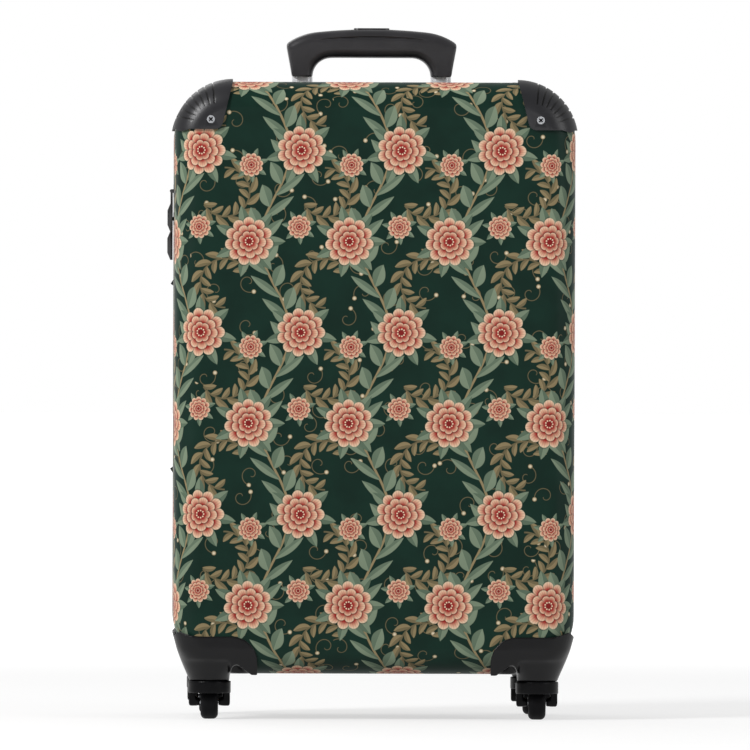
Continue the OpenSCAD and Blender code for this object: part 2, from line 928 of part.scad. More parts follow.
module grip() {
    color(satin_black) {
        at_grip() difference() {
            translate([0, 0, -grip_d/2]) linear_extrude(grip_d) polygon(grip_outline());
            finger_gap();
            gap_edges();
        }
        for (side = [-1, 1]) at_tube(side, grip_z - grip_socket)
            obround(tube_w - 2*(tube_wall + pin_fit), tube_d - 2*(tube_wall + pin_fit), grip_socket);
    }
}

// Inlaid top of the grip in three lengths, with the slot of the release button
module grip_cap() {
    color(satin_black) difference() {
        at_grip() along_arch() difference() {
            translate([-grip_cap_t, -grip_d/2]) square([grip_cap_t, grip_d]);
            for (flip = [0, 1]) mirror([0, flip]) translate([-grip_edge_r, grip_d/2 - grip_edge_r])
                edge_cut(grip_edge_r);
        }
        button_room(button_gap, grip_top - grip_cap_t - overrun, grip_top + overrun);
    }
}

module release_button() {
    color(deep_black)
        button_room(0, grip_top + button_proud - button_h, grip_top + button_proud);
}

// Zip and fabric hinge: tapes sewn into both rims, a coil on three sides and a folded tape on the right

module hinge_side(a, b, end) {
    translate([0, case_z + end, a]) cube([case_w, case_h - 2*end, b - a]);
}

module zip_tape() {
    band(-wall, lining_o, coil_w, zip_gap/2 + tape_lap);
}

module zip_coil() {
    difference() {
        band(-coil_in, -coil_in - coil_t, seam_gap, coil_w);
        hinge_side(-overrun, coil_w + overrun, hinge_end);
    }
}

module hinge_tape() {
    intersection() {
        band(-wall, lining_o, seam_gap, coil_w);
        hinge_side(0, coil_w + overrun, hinge_end);
    }
}

module zip_tape_front() {
    color(fabric_black) front_half() zip_tape();
}

module zip_tape_back() {
    color(fabric_black) back_half() zip_tape();
}

module zip_coil_front() {
    color(fabric_black) front_half() zip_coil();
}

module zip_coil_back() {
    color(fabric_black) back_half() zip_coil();
}

module hinge_tape_front() {
    color(fabric_black) front_half() hinge_tape();
}

module hinge_tape_back() {
    color(fabric_black) back_half() hinge_tape();
}

// Sliders on the left side: a plate over the coil, a flange behind it and two ears with a cross pin
slider_face = half_w - coil_in + run_gap;
pivot_out = slider_face + slider_t + ear_out;

module zip_slider(z) {
    back = coil_w + run_gap + slider_flange;
    lip = slider_face - half_w + wall - run_gap;
    translate([0, 0, z]) mirror([1, 0, 0]) {
        translate([slider_face, -back, -slider_len/2]) cube([slider_t, 2*back, slider_len]);
        translate([slider_face - lip, coil_w + run_gap, -slider_len/2]) cube([lip, slider_flange, slider_len]);
        for (flip = [0, 1]) mirror([0, flip, 0])
            translate([slider_face + slider_t, ear_gap, -barrel_d/2]) cube([ear_out, ear_t, barrel_d]);
        for (flip = [0, 1]) mirror([0, flip, 0]) translate([pivot_out, ear_gap, 0]) rotate([-90, 0, 0])
            rotate([0, 0, -90]) rotate_extrude(angle = 180) square([barrel_d/2, ear_t]);
        translate([pivot_out, -ear_gap, 0]) rotate([-90, 0, 0]) cylinder(d = zip_pin_d, h = 2*ear_gap);
    }
}

// Pull tab: a barrel on the cross pin, a link, and a tapered tab set to one side of it
module pull_tab(z, shift) {
    w = 2*(ear_gap - tab_play);
    taper = tab_len*tab_taper_share;
    tab_top = -link_len - link_bar;
    translate([-pivot_out, 0, z]) mirror([1, 0, 0]) mirror([0, shift < 0 ? 1 : 0, 0]) {
        difference() {
            union() {
                rotate([90, 0, 0]) cylinder(d = barrel_d, h = w, center = true);
                translate([-link_t/2, -w/2, -link_len]) cube([link_t, w, link_len]);
                translate([-link_t/2, -w/2, -link_len - link_bar])
                    cube([link_t, w/2 + ear_gap + ear_t + tab_clear + tab_w, link_bar]);
            }
            rotate([90, 0, 0]) cylinder(d = zip_pin_d + 2*pin_fit, h = w + overrun, center = true);
        }
        translate([0, ear_gap + ear_t + tab_clear + tab_w, 0]) rotate([90, 0, 0]) linear_extrude(tab_w) polygon([
            [-link_t/2, tab_top], [link_t/2, tab_top], [tab_t - link_t/2, tab_top - taper],
            [tab_t - link_t/2, tab_top - tab_len + taper], [link_t/2, tab_top - tab_len],
            [-link_t/2, tab_top - tab_len]]);
    }
}

module zip_slider_upper() {
    color(satin_black) zip_slider(slider_upper_z);
}

module zip_slider_lower() {
    color(satin_black) zip_slider(slider_lower_z);
}

module pull_tab_upper() {
    color(satin_black) pull_tab(slider_upper_z, -1);
}

module pull_tab_lower() {
    color(satin_black) pull_tab(slider_lower_z, 1);
}

// Linings: fabric inside both halves, lifted over the wheel housings and the trolley

module boot_rooms(g) {
    for (side = [-1, 1]) at_corner(side, -1)
        swivel_block(boot_w - boot_lap + g, boot_block_h + g, boot_lip + overrun);
}

// Room of the tubes, the foot and the cup under the back lining, grown by g
module trolley_room(g) {
    y = tube_y - outer_d/2 - g;
    for (side = [-1, 1]) translate([side*tube_x - outer_w/2 - g, y, case_z])
        cube([outer_w + 2*g, half_d - y, cup_floor - case_z]);
    translate([-foot_w/2 - g, tube_y - foot_d/2 - g, case_z])
        cube([foot_w + 2*g, half_d - tube_y + foot_d/2 + g, wall + foot_h + g]);
    cup_room(g);
}

module front_lining() {
    color(lining_grey) front_half() difference() {
        half_form(lining_o, lining_rim);
        boot_rooms(lining_room);
        difference() {
            half_form(lining_o - lining_t, lining_rim - overrun);
            boot_rooms(lining_room + lining_t);
        }
    }
}

module back_lining() {
    color(lining_grey) difference() {
        back_half() half_form(lining_o, lining_rim);
        back_half() boot_rooms(lining_room);
        trolley_room(lining_room);
        difference() {
            back_half() half_form(lining_o - lining_t, lining_rim - overrun);
            back_half() boot_rooms(lining_room + lining_t);
            trolley_room(lining_room + lining_t);
        }
    }
}

// Packing straps: two webbings from each side of the back half to a buckle in the middle
strap_y = tube_y - outer_d/2 - lining_room - lining_t - strap_pad;

module packing_straps(side) {
    reach = half_w + lining_o - lining_t;
    run = reach - buckle_l;
    angle = atan((strap_fall - buckle_w/4)/run);
    color(fabric_black) intersection() {
        union() {
            for (end = [-1, 1]) translate([side*buckle_l, strap_y - strap_t, case_mid + end*buckle_w/4])
                mirror([side < 0 ? 1 : 0, 0, 0]) rotate([0, -end*angle, 0])
                    translate([-strap_w/8, 0, -strap_w/2]) cube([run*2, strap_t, strap_w]);
        }
        translate([side > 0 ? buckle_l : -reach, strap_y - strap_t - overrun, case_z])
            cube([run, strap_t + 2*overrun, case_h]);
    }
}

module packing_strap_left() {
    packing_straps(-1);
}

module packing_strap_right() {
    packing_straps(1);
}

module buckle_socket() {
    color(deep_black) difference() {
        translate([-buckle_l, strap_y - buckle_t, case_mid - buckle_w/2])
            cube([buckle_l, buckle_t, buckle_w]);
        translate([-buckle_tongue - buckle_gap, strap_y - buckle_t + buckle_wall, case_mid - buckle_w/2 + 2*buckle_wall])
            cube([buckle_tongue + buckle_gap + overrun, buckle_t - 2*buckle_wall, buckle_w - 4*buckle_wall]);
    }
}

module buckle_plug() {
    tongue_w = buckle_w - 4*buckle_wall - 2*buckle_gap;
    color(deep_black) {
        translate([buckle_gap, strap_y - buckle_t, case_mid - buckle_w/2])
            cube([buckle_l - buckle_gap, buckle_t, buckle_w]);
        translate([-buckle_tongue, strap_y - buckle_t + buckle_wall + buckle_gap, case_mid - tongue_w/2])
            cube([buckle_tongue + buckle_gap, buckle_t - 2*buckle_wall - 2*buckle_gap, tongue_w]);
    }
}

// Mesh pocket, flat on the lining of the lid
module mesh_pocket() {
    color(fabric_black) translate([-pocket_w/2, -half_d - lining_o + lining_t, pocket_z])
        cube([pocket_w, pocket_t, pocket_h]);
}

back_shell();
back_lining();
handle_cup();
outer_tube_left();
outer_tube_right();
tube_foot();
corner_guard_back_left();
corner_guard_back_right();
back_guard_screws();
wheel_housing_back_left();
wheel_housing_back_right();
zip_tape_back();
zip_coil_back();
hinge_tape_back();
packing_strap_left();
packing_strap_right();
buckle_socket();
buckle_plug();
front_shell();
front_lining();
corner_guard_front_left();
corner_guard_front_right();
front_guard_screws();
wheel_housing_front_left();
wheel_housing_front_right();
zip_tape_front();
zip_coil_front();
hinge_tape_front();
mesh_pocket();
fork_front_left();
fork_front_right();
fork_back_left();
fork_back_right();
swivel_pin_front_left();
swivel_pin_front_right();
swivel_pin_back_left();
swivel_pin_back_right();
axle_front_left();
axle_front_right();
axle_back_left();
axle_back_right();
hub_front_left();
hub_front_right();
hub_back_left();
hub_back_right();
tyre_front_left();
tyre_front_right();
tyre_back_left();
tyre_back_right();
grip();
grip_cap();
inner_tube_left();
inner_tube_right();
tube_plugs();
release_button();
zip_slider_upper();
zip_slider_lower();
pull_tab_upper();
pull_tab_lower();
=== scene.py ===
import json
import math

import bpy
from mathutils import Matrix, Vector, noise

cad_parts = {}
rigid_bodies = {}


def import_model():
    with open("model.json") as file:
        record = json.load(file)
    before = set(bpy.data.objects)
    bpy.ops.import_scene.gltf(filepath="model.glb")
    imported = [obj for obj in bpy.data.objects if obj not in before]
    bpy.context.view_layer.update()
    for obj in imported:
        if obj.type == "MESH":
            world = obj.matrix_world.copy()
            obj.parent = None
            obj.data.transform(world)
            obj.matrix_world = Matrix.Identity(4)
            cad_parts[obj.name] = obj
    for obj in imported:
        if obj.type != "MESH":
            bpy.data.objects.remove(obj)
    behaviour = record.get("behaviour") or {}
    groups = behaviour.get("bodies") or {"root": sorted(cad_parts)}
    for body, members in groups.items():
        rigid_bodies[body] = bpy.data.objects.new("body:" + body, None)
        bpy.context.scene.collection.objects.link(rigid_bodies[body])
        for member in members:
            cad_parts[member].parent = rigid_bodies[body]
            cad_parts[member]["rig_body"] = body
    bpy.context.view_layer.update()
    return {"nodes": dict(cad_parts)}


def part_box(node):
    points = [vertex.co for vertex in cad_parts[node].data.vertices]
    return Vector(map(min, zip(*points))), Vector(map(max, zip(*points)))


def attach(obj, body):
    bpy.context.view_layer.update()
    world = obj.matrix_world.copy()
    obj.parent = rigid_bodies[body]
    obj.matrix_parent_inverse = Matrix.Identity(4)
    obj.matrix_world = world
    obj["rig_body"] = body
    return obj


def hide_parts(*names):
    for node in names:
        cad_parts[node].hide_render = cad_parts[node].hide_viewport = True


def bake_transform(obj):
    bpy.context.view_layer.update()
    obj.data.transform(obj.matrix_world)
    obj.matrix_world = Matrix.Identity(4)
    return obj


bl_info = {
    "name": "Printed Cabin Suitcase",
    "version": (1, 0, 0),
    "blender": (4, 5, 0),
    "location": "View3D > Sidebar > Suitcase",
    "description": "Dresses a hard-shell cabin suitcase with a flower print, moulded fittings and a lining",
    "category": "Object",
}

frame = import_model()
NODES = frame["nodes"]

SIDES = ("left", "right")
HALVES = ("front", "back")
CORNERS = [f"{half}_{side}" for half in HALVES for side in SIDES]

MILLI = 1000.0              # millimetres in a metre
SHELL_CORNER = 0.05         # corner radius of the shells, seen from the front
BACK_SHIFT = 0.215          # sideways shift of the print on the back shell
NEAR = 1e-4                 # distance within which two places count as one
WELD = 2e-6                 # distance within which loose corners are joined
FLAT = math.radians(0.4)    # bend below which faces become one
SHARP = math.radians(28)    # bend from which an edge is rounded


def srgb(red, green, blue):
    """Linear colour of a colour as it is seen on a screen, in steps of 0 to 255."""
    return tuple((c / 12.92 if c <= 0.04045 else ((c + 0.055) / 1.055) ** 2.4)
                 for c in (red / 255, green / 255, blue / 255))


def colour_property(name, description, default):
    """A colour that a user can change."""
    return bpy.props.FloatVectorProperty(name=name, description=description, subtype="COLOR",
                                         size=3, min=0, max=1, default=default)


def length_property(name, description, default, least=0.0, most=10.0):
    """A length in metres that a user can change."""
    return bpy.props.FloatProperty(name=name, description=description, default=default,
                                   min=least, max=most, unit="LENGTH", subtype="DISTANCE")


def angle_property(name, description, degrees):
    """An angle that a user can change, given in degrees."""
    return bpy.props.FloatProperty(name=name, description=description, subtype="ANGLE",
                                   default=math.radians(degrees))


def count_property(name, description, default):
    """A number of things that a user can change."""
    return bpy.props.IntProperty(name=name, description=description, default=default, min=1)


def light_property(name, description, default, **settings):
    """A strength or power of light that a user can change."""
    return bpy.props.FloatProperty(name=name, description=description, default=default,
                                   min=0, **settings)


class PrintLook(bpy.types.PropertyGroup):
    """Colours and repeat of the print on the shells."""
    ground: colour_property("Ground", "Ground of the print", srgb(17, 45, 36))
    petal: colour_property("Petal", "Body of the petals", srgb(243, 190, 158))
    rim: colour_property("Petal rim", "Pale rim of the petals", srgb(250, 226, 194))
    heart: colour_property("Heart", "Heart of the flowers and foot of the petals", srgb(178, 44, 42))
    leaf: colour_property("Leaf", "Leaves on the climbing stems", srgb(138, 154, 130))
    leaf_shade: colour_property("Leaf shade", "Darker half of those leaves", srgb(92, 112, 93))
    sprig: colour_property("Sprig", "Leaves of the loose sprigs", srgb(156, 139, 103))
    sprig_shade: colour_property("Sprig shade", "Darker half of those leaves", srgb(112, 102, 75))
    bud: colour_property("Bud", "Small buds at the ends of the tendrils", srgb(232, 218, 188))
    column: length_property("Column", "Distance between two climbing stems", 0.086, 0.04, 0.3)
    row: length_property("Row", "Height of one repeat", 0.156, 0.06, 0.5)
    flower: length_property("Flower", "Radius of the large flowers", 0.0208, 0.008, 0.04)
    floret: length_property("Floret", "Radius of the small flowers", 0.0102, 0.004, 0.03)


class FittingLook(bpy.types.PropertyGroup):
    """Colours of the fittings and of the inside."""
    guard: colour_property("Guards", "Corner guards", srgb(34, 34, 37))
    housing: colour_property("Housings", "Wheel housings, forks, cup and buckle", srgb(12, 12, 14))
    grip: colour_property("Grip", "Grip of the trolley", srgb(44, 43, 46))
    tyre: colour_property("Tyres", "Rubber of the tyres", srgb(17, 17, 19))
    hub: colour_property("Hubs", "Wheel hubs", srgb(58, 60, 63))
    tube: colour_property("Tubes", "Anodised tubes", srgb(236, 237, 239))
    steel: colour_property("Steel", "Screws, pins and axles", srgb(214, 216, 220))
    zip_cloth: colour_property("Zip tape", "Woven tape of the zip", srgb(30, 31, 33))
    enamel: colour_property("Sliders", "Enamelled zip sliders and pull tabs", srgb(26, 27, 29))
    lining: colour_property("Lining", "Lining of both halves", srgb(86, 92, 96))
    webbing: colour_property("Straps", "Packing straps", srgb(46, 48, 52))


class GuardSize(bpy.types.PropertyGroup):
    """Sizes of the corner guards and their screws."""
    edge: length_property("Edge", "Rounding of the edges", 0.00024, 0.0001, 0.002)
    fan_in: length_property("Fan in", "Distance of the grooves' centre from the side", 0.036, 0.0, 0.1)
    fan_down: length_property("Fan down", "Distance of that centre from the top", 0.04, 0.0, 0.1)
    fan_start: length_property("Fan start", "Radius at which the grooves start", 0.022, 0.01, 0.05)
    fan_groove: length_property("Groove", "Width of a groove", 0.0015, 0.0005, 0.004)
    fan_first: angle_property("First groove", "Slope of the lowest groove", 17)
    fan_step: angle_property("Groove step", "Angle between two grooves", 11.2)
    fan_count: count_property("Grooves", "Number of grooves on a guard", 7)
    # The screws' recesses get painted shade below this depth
    recess: length_property("Recess", "Depth at which the screws' recesses turn dark", 0.0002, 0.0, 0.002)


class CasterSize(bpy.types.PropertyGroup):
    """Sizes of the wheel housings and forks, and how far they are rounded."""
    housing_step: length_property("Housing step", "Size of the housings' faces", 0.0009, 0.0006, 0.003)
    housing_rounds: count_property("Housing rounds", "Rounds of smoothing on a housing", 90)
    housing_fade: length_property("Housing fade", "Length over which the rounding sets in",
                                  0.01, 0.002, 0.03)
    neck_reach: length_property("Neck reach", "Distance from the pin to which a neck is rounded",
                                0.027, 0.01, 0.06)
    neck_rise: length_property("Neck rise", "Height above the shells' bottom up to which it is rounded",
                               0.028, 0.0, 0.06)
    foot_keep: length_property("Foot", "Height of a neck's foot that keeps its edge", 0.001, 0.0, 0.01)
    foot_fade: length_property("Foot fade", "Height over which the rounding sets in above it",
                               0.01 / 3, 0.001, 0.01)
    fork_step: length_property("Fork step", "Size of the forks' faces", 0.0007, 0.0004, 0.003)
    fork_rounds: count_property("Fork rounds", "Rounds of smoothing on a fork", 14)


class TrolleySize(bpy.types.PropertyGroup):
    """Sizes of the grip, its button and its cup, and how far they are rounded."""
    grip_step: length_property("Grip step", "Size of the grip's faces", 0.0008, 0.0005, 0.003)
    grip_rounds: count_property("Grip rounds", "Rounds of smoothing on the grip", 60)
    grip_arch: length_property("Grip arch", "Radius of the grip's arch", 0.45, 0.2, 1.0)
    grip_fade: length_property("Grip fade", "Height over which the rounding sets in", 0.008, 0.002, 0.02)
    foot_keep: length_property("Foot", "Height of the grip's feet that keeps its edge", 0.0032, 0.0, 0.01)
    crease_drop: length_property("Crease drop", "Depth of the grip's seam below its crest",
                                 0.0072, 0.003, 0.02)
    crease_width: length_property("Crease width", "Half width of that seam", 0.0008, 0.0003, 0.003)
    crease_depth: length_property("Crease depth", "Depth of that seam", 0.0011, 0.0, 0.003)
    crease_reach: length_property("Crease reach", "Reach of that seam to each side", 0.052, 0.02, 0.08)
    button_gap: length_property("Button gap", "Gap round the release button", 0.0004, 0.0001, 0.002)
    button_travel: length_property("Button travel", "Room below the release button", 0.0032, 0.001, 0.01)
    button_below: length_property("Button keep", "Depth below the button that keeps its shape",
                                  0.002, 0.0, 0.01)
    button_fade: length_property("Button fade", "Length over which the rounding sets in round it",
                                 0.004, 0.001, 0.02)
    button_edge: length_property("Button edge", "Rounding of the button's edges", 0.0006, 0.0001, 0.002)
    cup_edge: length_property("Cup edge", "Rounding of the cup's edges", 0.00048, 0.0001, 0.002)


class ZipSize(bpy.types.PropertyGroup):
    """Sizes of the zip and of the fabric hinge."""
    pitch: length_property("Pitch", "Distance between two teeth", 0.0022, 0.001, 0.005)
    tooth_depth: length_property("Tooth", "Depth of a tooth", 0.0026, 0.001, 0.004)
    tooth_width: length_property("Tooth width", "Width of a tooth along the zip", 0.00104, 0.0004, 0.002)
    tooth_lap: length_property("Tooth lap", "Reach of the teeth past the middle of the closed zip",
                               0.0006, 0.0, 0.002)
    tooth_edge: length_property("Tooth edge", "Rounding of a tooth's edges", 0.000352, 0.0001, 0.001)
    corner: length_property("Corner", "Corner radius of the zip", 0.046, 0.02, 0.06)
    hinge_reach: length_property("Hinge", "Reach of the hinge fabric onto each half", 0.009, 0.004, 0.02)
    tape_edge: length_property("Tape edge", "Rounding of the tapes' edges", 0.0004, 0.0001, 0.001)
    slider_edge: length_property("Slider edge", "Rounding of the sliders' edges", 0.0003, 0.0001, 0.001)
    tab_edge: length_property("Tab edge", "Rounding of the pull tabs' edges", 0.0006, 0.0001, 0.001)


class LiningSize(bpy.types.PropertyGroup):
    """Sizes of the linings, the packing straps and the mesh pocket."""
    cloth: length_property("Cloth", "Thickness of the lining", 0.001, 0.0004, 0.002)
    corner: length_property("Corner", "Corner radius of the lining", 0.046, 0.02, 0.06)
    inner_edge: length_property("Inner edge", "Rounding of the lining's far edges", 0.017, 0.005, 0.03)
    weave_step: length_property("Step", "Size of the lining's faces", 0.0048, 0.003, 0.01)
    wrinkle: length_property("Wrinkle", "Depth of the lining's folds", 0.0005, 0.0, 0.002)
    clearance: length_property("Clearance", "Room that the lining leaves round a fitting",
                               0.0042, 0.0005, 0.01)
    tube_clearance: length_property("Tube clearance", "Room that it leaves round a tube",
                                    0.0015, 0.0005, 0.01)
    room_reach: length_property("Room reach", "Reach of the room over a wheel housing", 0.0725, 0.04, 0.1)
    room_height: length_property("Room height", "Height of that room above the shell's bottom",
                                 0.0215, 0.005, 0.05)
    room_round: length_property("Room corner", "Corner radius of that room", 0.03, 0.005, 0.05)
    webbing_width: length_property("Webbing", "Width of a packing strap", 0.025, 0.01, 0.05)
    webbing_thick: length_property("Webbing thickness", "Thickness of a packing strap",
                                   0.0012, 0.0005, 0.003)
    webbing_edge: length_property("Webbing edge", "Rounding of a packing strap's edges",
                                  0.00036, 0.0001, 0.001)
    webbing_sag: length_property("Webbing sag", "Slack of a packing strap", 0.003, 0.0, 0.01)
    buckle_edge: length_property("Buckle edge", "Rounding of the buckle's edges", 0.001, 0.0002, 0.003)
    binding: length_property("Binding", "Width of the tape round the mesh pocket", 0.012, 0.004, 0.03)
    binding_edge: length_property("Binding edge", "Rounding of that tape's edges", 0.00042, 0.0001, 0.001)
    pocket_stand: length_property("Pocket stand", "Distance of the mesh pocket from its place",
                                  0.002, 0.0, 0.01)
    pocket_crown: length_property("Pocket crown", "Bulge of the mesh pocket", 0.004, 0.0, 0.01)


class StageLook(bpy.types.PropertyGroup):
    """Floor, light and camera."""
    floor: colour_property("Floor", "Pale floor", (0.42, 0.42, 0.42))
    floor_size: length_property("Floor size", "Side of the floor", 60.0, 5.0, 200.0)
    floor_glow: light_property("Floor glow", "Lift of the floor where it is seen", 0.6)
    glow_near: length_property("Glow near", "Distance from which that lift grows", 1.2)
    glow_far: length_property("Glow far", "Distance at which the floor is white", 3.5)
    front_sky: light_property("Front sky", "Light of the room in front of the suitcase", 0.3)
    back_sky: light_property("Back sky", "Light of the room behind the suitcase", 0.6)
    key_power: light_property("Key", "Power of the key lamp", 140.0, unit="POWER")
    fill_power: light_property("Fill", "Power of the fill lamp", 30.0, unit="POWER")
    back_power: light_property("Back", "Power of the back lamp", 9.0, unit="POWER")
    azimuth: angle_property("Azimuth", "Turn of the camera round the suitcase", -1.1)
    elevation: angle_property("Elevation", "Height angle of the camera", 0.35)
    roll: angle_property("Roll", "Turn of the picture", 0.2)
    distance: length_property("Distance", "Distance of the camera from the front face", 13.0, 2.0, 40.0)
    picture: length_property("Picture", "Width of the picture at the front face", 0.643, 0.2, 3.0)
    aim_height: length_property("Aim", "Height at which the camera aims", 0.2962, 0.0, 1.0)
    sight: length_property("Sight", "Distance to which the camera sees", 100.0, 20.0, 500.0)


class Wires:
    """Adds nodes to one node tree and hands back their output sockets."""

    def __init__(self, tree):
        self.tree = tree

    def add(self, kind, **settings):
        """A new node with its settings."""
        node = self.tree.nodes.new(kind)
        for key, value in settings.items():
            setattr(node, key, value)
        return node

    def feed(self, socket, value):
        """Links an output to a socket, or sets the socket's own value."""
        if isinstance(value, bpy.types.NodeSocket):
            self.tree.links.new(value, socket)
        elif socket.type == "RGBA" and len(value) == 3:
            socket.default_value = (*value, 1.0)
        else:
            socket.default_value = value

    def filled(self, node, values):
        """The node, with values fed to its inputs by name or number."""
        for key, value in values.items():
            self.feed(node.inputs[key], value)
        return node

    def math(self, operation, *values, clamp=False):
        """Result of one operation on numbers."""
        node = self.add("ShaderNodeMath", operation=operation, use_clamp=clamp)
        return self.filled(node, dict(enumerate(values))).outputs[0]

    def vector(self, operation, *values):
        """Result of one operation on vectors."""
        node = self.add("ShaderNodeVectorMath", operation=operation)
        self.filled(node, dict(enumerate(values)))
        return node.outputs["Value" if operation in ("LENGTH", "DOT_PRODUCT") else "Vector"]

    def scaled(self, vector, factor):
        """A vector times a number."""
        node = self.add("ShaderNodeVectorMath", operation="SCALE")
        return self.filled(node, {"Vector": vector, "Scale": factor}).outputs["Vector"]

    def split(self, vector):
        """The three parts of a vector."""
        node = self.filled(self.add("ShaderNodeSeparateXYZ"), {0: vector})
        return node.outputs[0], node.outputs[1], node.outputs[2]

    def joined(self, x=0.0, y=0.0, z=0.0):
        """A vector of three parts."""
        return self.filled(self.add("ShaderNodeCombineXYZ"), {0: x, 1: y, 2: z}).outputs[0]

    def turned(self, vector, angle):
        """A vector turned round Z."""
        node = self.add("ShaderNodeVectorRotate", rotation_type="Z_AXIS")
        return self.filled(node, {"Vector": vector, "Angle": angle}).outputs[0]

    def mix(self, factor, low, high, blend="MIX"):
        """A colour between two colours."""
        node = self.add("ShaderNodeMix", data_type="RGBA", blend_type=blend)
        return self.filled(node, {0: factor, 6: low, 7: high}).outputs[2]

    def within(self, distance, feather):
        """1 where a signed distance is below zero, with a soft edge as wide as the feather."""
        return self.math("MULTIPLY_ADD", distance, -1 / feather, 0.5, clamp=True)

    def ease(self, value, low, high, start=0.0, end=1.0):
        """A value that goes smoothly from start to end between two bounds."""
        node = self.add("ShaderNodeMapRange", interpolation_type="SMOOTHSTEP")
        return self.filled(node, {0: value, 1: low, 2: high, 3: start, 4: end}).outputs[0]

    def noise(self, vector, scale, detail=2.0, rough=0.5):
        """Cloudy noise from 0 to 1."""
        node = self.add("ShaderNodeTexNoise")
        return self.filled(node, {"Vector": vector, "Scale": scale, "Detail": detail,
                                  "Roughness": rough}).outputs[0]

    def bump(self, height, strength, distance):
        """A normal that follows a height."""
        node = self.add("ShaderNodeBump")
        return self.filled(node, {"Height": height, "Strength": strength,
                                  "Distance": distance}).outputs[0]

    def group(self, tree, **values):
        """Outputs of a node group whose inputs are filled."""
        node = self.add("ShaderNodeGroup", node_tree=tree)
        return self.filled(node, {key.replace("_", " "): v for key, v in values.items()}).outputs

    def object_place(self):
        """Place on the piece, in metres."""
        return self.add("ShaderNodeTexCoord").outputs["Object"]


SOCKETS = {"value": "NodeSocketFloat", "vector": "NodeSocketVector", "colour": "NodeSocketColor"}


def new_group(name, inputs, outputs):
    """A node group with named sockets; gives its wires, its inputs by name and its outputs by name."""
    tree = bpy.data.node_groups.new(name, "ShaderNodeTree")
    for label, kind in inputs.items():
        tree.interface.new_socket(name=label, in_out="INPUT", socket_type=SOCKETS[kind])
    for label, kind in outputs.items():
        tree.interface.new_socket(name=label, in_out="OUTPUT", socket_type=SOCKETS[kind])
    wires = Wires(tree)
    return wires, wires.add("NodeGroupInput").outputs, wires.add("NodeGroupOutput").inputs


def unrolled_group():
    """Place on the print, in millimetres, with the sides of the case folded out round its face."""
    w, given, out = new_group("Unrolled Place", {"Place": "vector"}, {"Print": "vector"})
    low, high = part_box("front_shell")
    half_w, half_h, half_d = (high.x - low.x) / 2, (high.z - low.z) / 2, -low.y
    x, y, z = w.split(given["Place"])
    up = w.math("SUBTRACT", z, (high.z + low.z) / 2)
    near_x = w.math("MINIMUM", w.math("MAXIMUM", x, SHELL_CORNER - half_w), half_w - SHELL_CORNER)
    near_z = w.math("MINIMUM", w.math("MAXIMUM", up, SHELL_CORNER - half_h), half_h - SHELL_CORNER)
    outward = w.vector("NORMALIZE", w.joined(w.math("SUBTRACT", x, near_x), w.math("SUBTRACT", up, near_z)))
    depth = w.math("SUBTRACT", half_d, w.math("ABSOLUTE", y))
    behind = w.math("MULTIPLY", w.math("GREATER_THAN", y, 0.0), BACK_SHIFT)
    flat = w.joined(w.math("ADD", x, behind), up)
    w.feed(out["Print"], w.scaled(w.vector("ADD", flat, w.scaled(outward, depth)), MILLI))
    return w.tree


def repeat_group():
    """Place measured from the nearest of the motifs that repeat in columns and rows."""
    w, given, out = new_group("Repeated Place", {"Print": "vector", "Column": "value", "Row": "value",
                                                 "Right": "value", "Up": "value", "Turn": "value"},
                              {"Local": "vector"})
    x, y, _ = w.split(given["Print"])
    half_c = w.math("MULTIPLY", given["Column"], 0.5)
    half_r = w.math("MULTIPLY", given["Row"], 0.5)
    across = w.math("WRAP", w.math("SUBTRACT", x, given["Right"]), half_c,
                    w.math("MULTIPLY", half_c, -1.0))
    along = w.math("WRAP", w.math("SUBTRACT", y, given["Up"]), half_r,
                   w.math("MULTIPLY", half_r, -1.0))
    w.feed(out["Local"], w.turned(w.joined(across, along), given["Turn"]))
    return w.tree


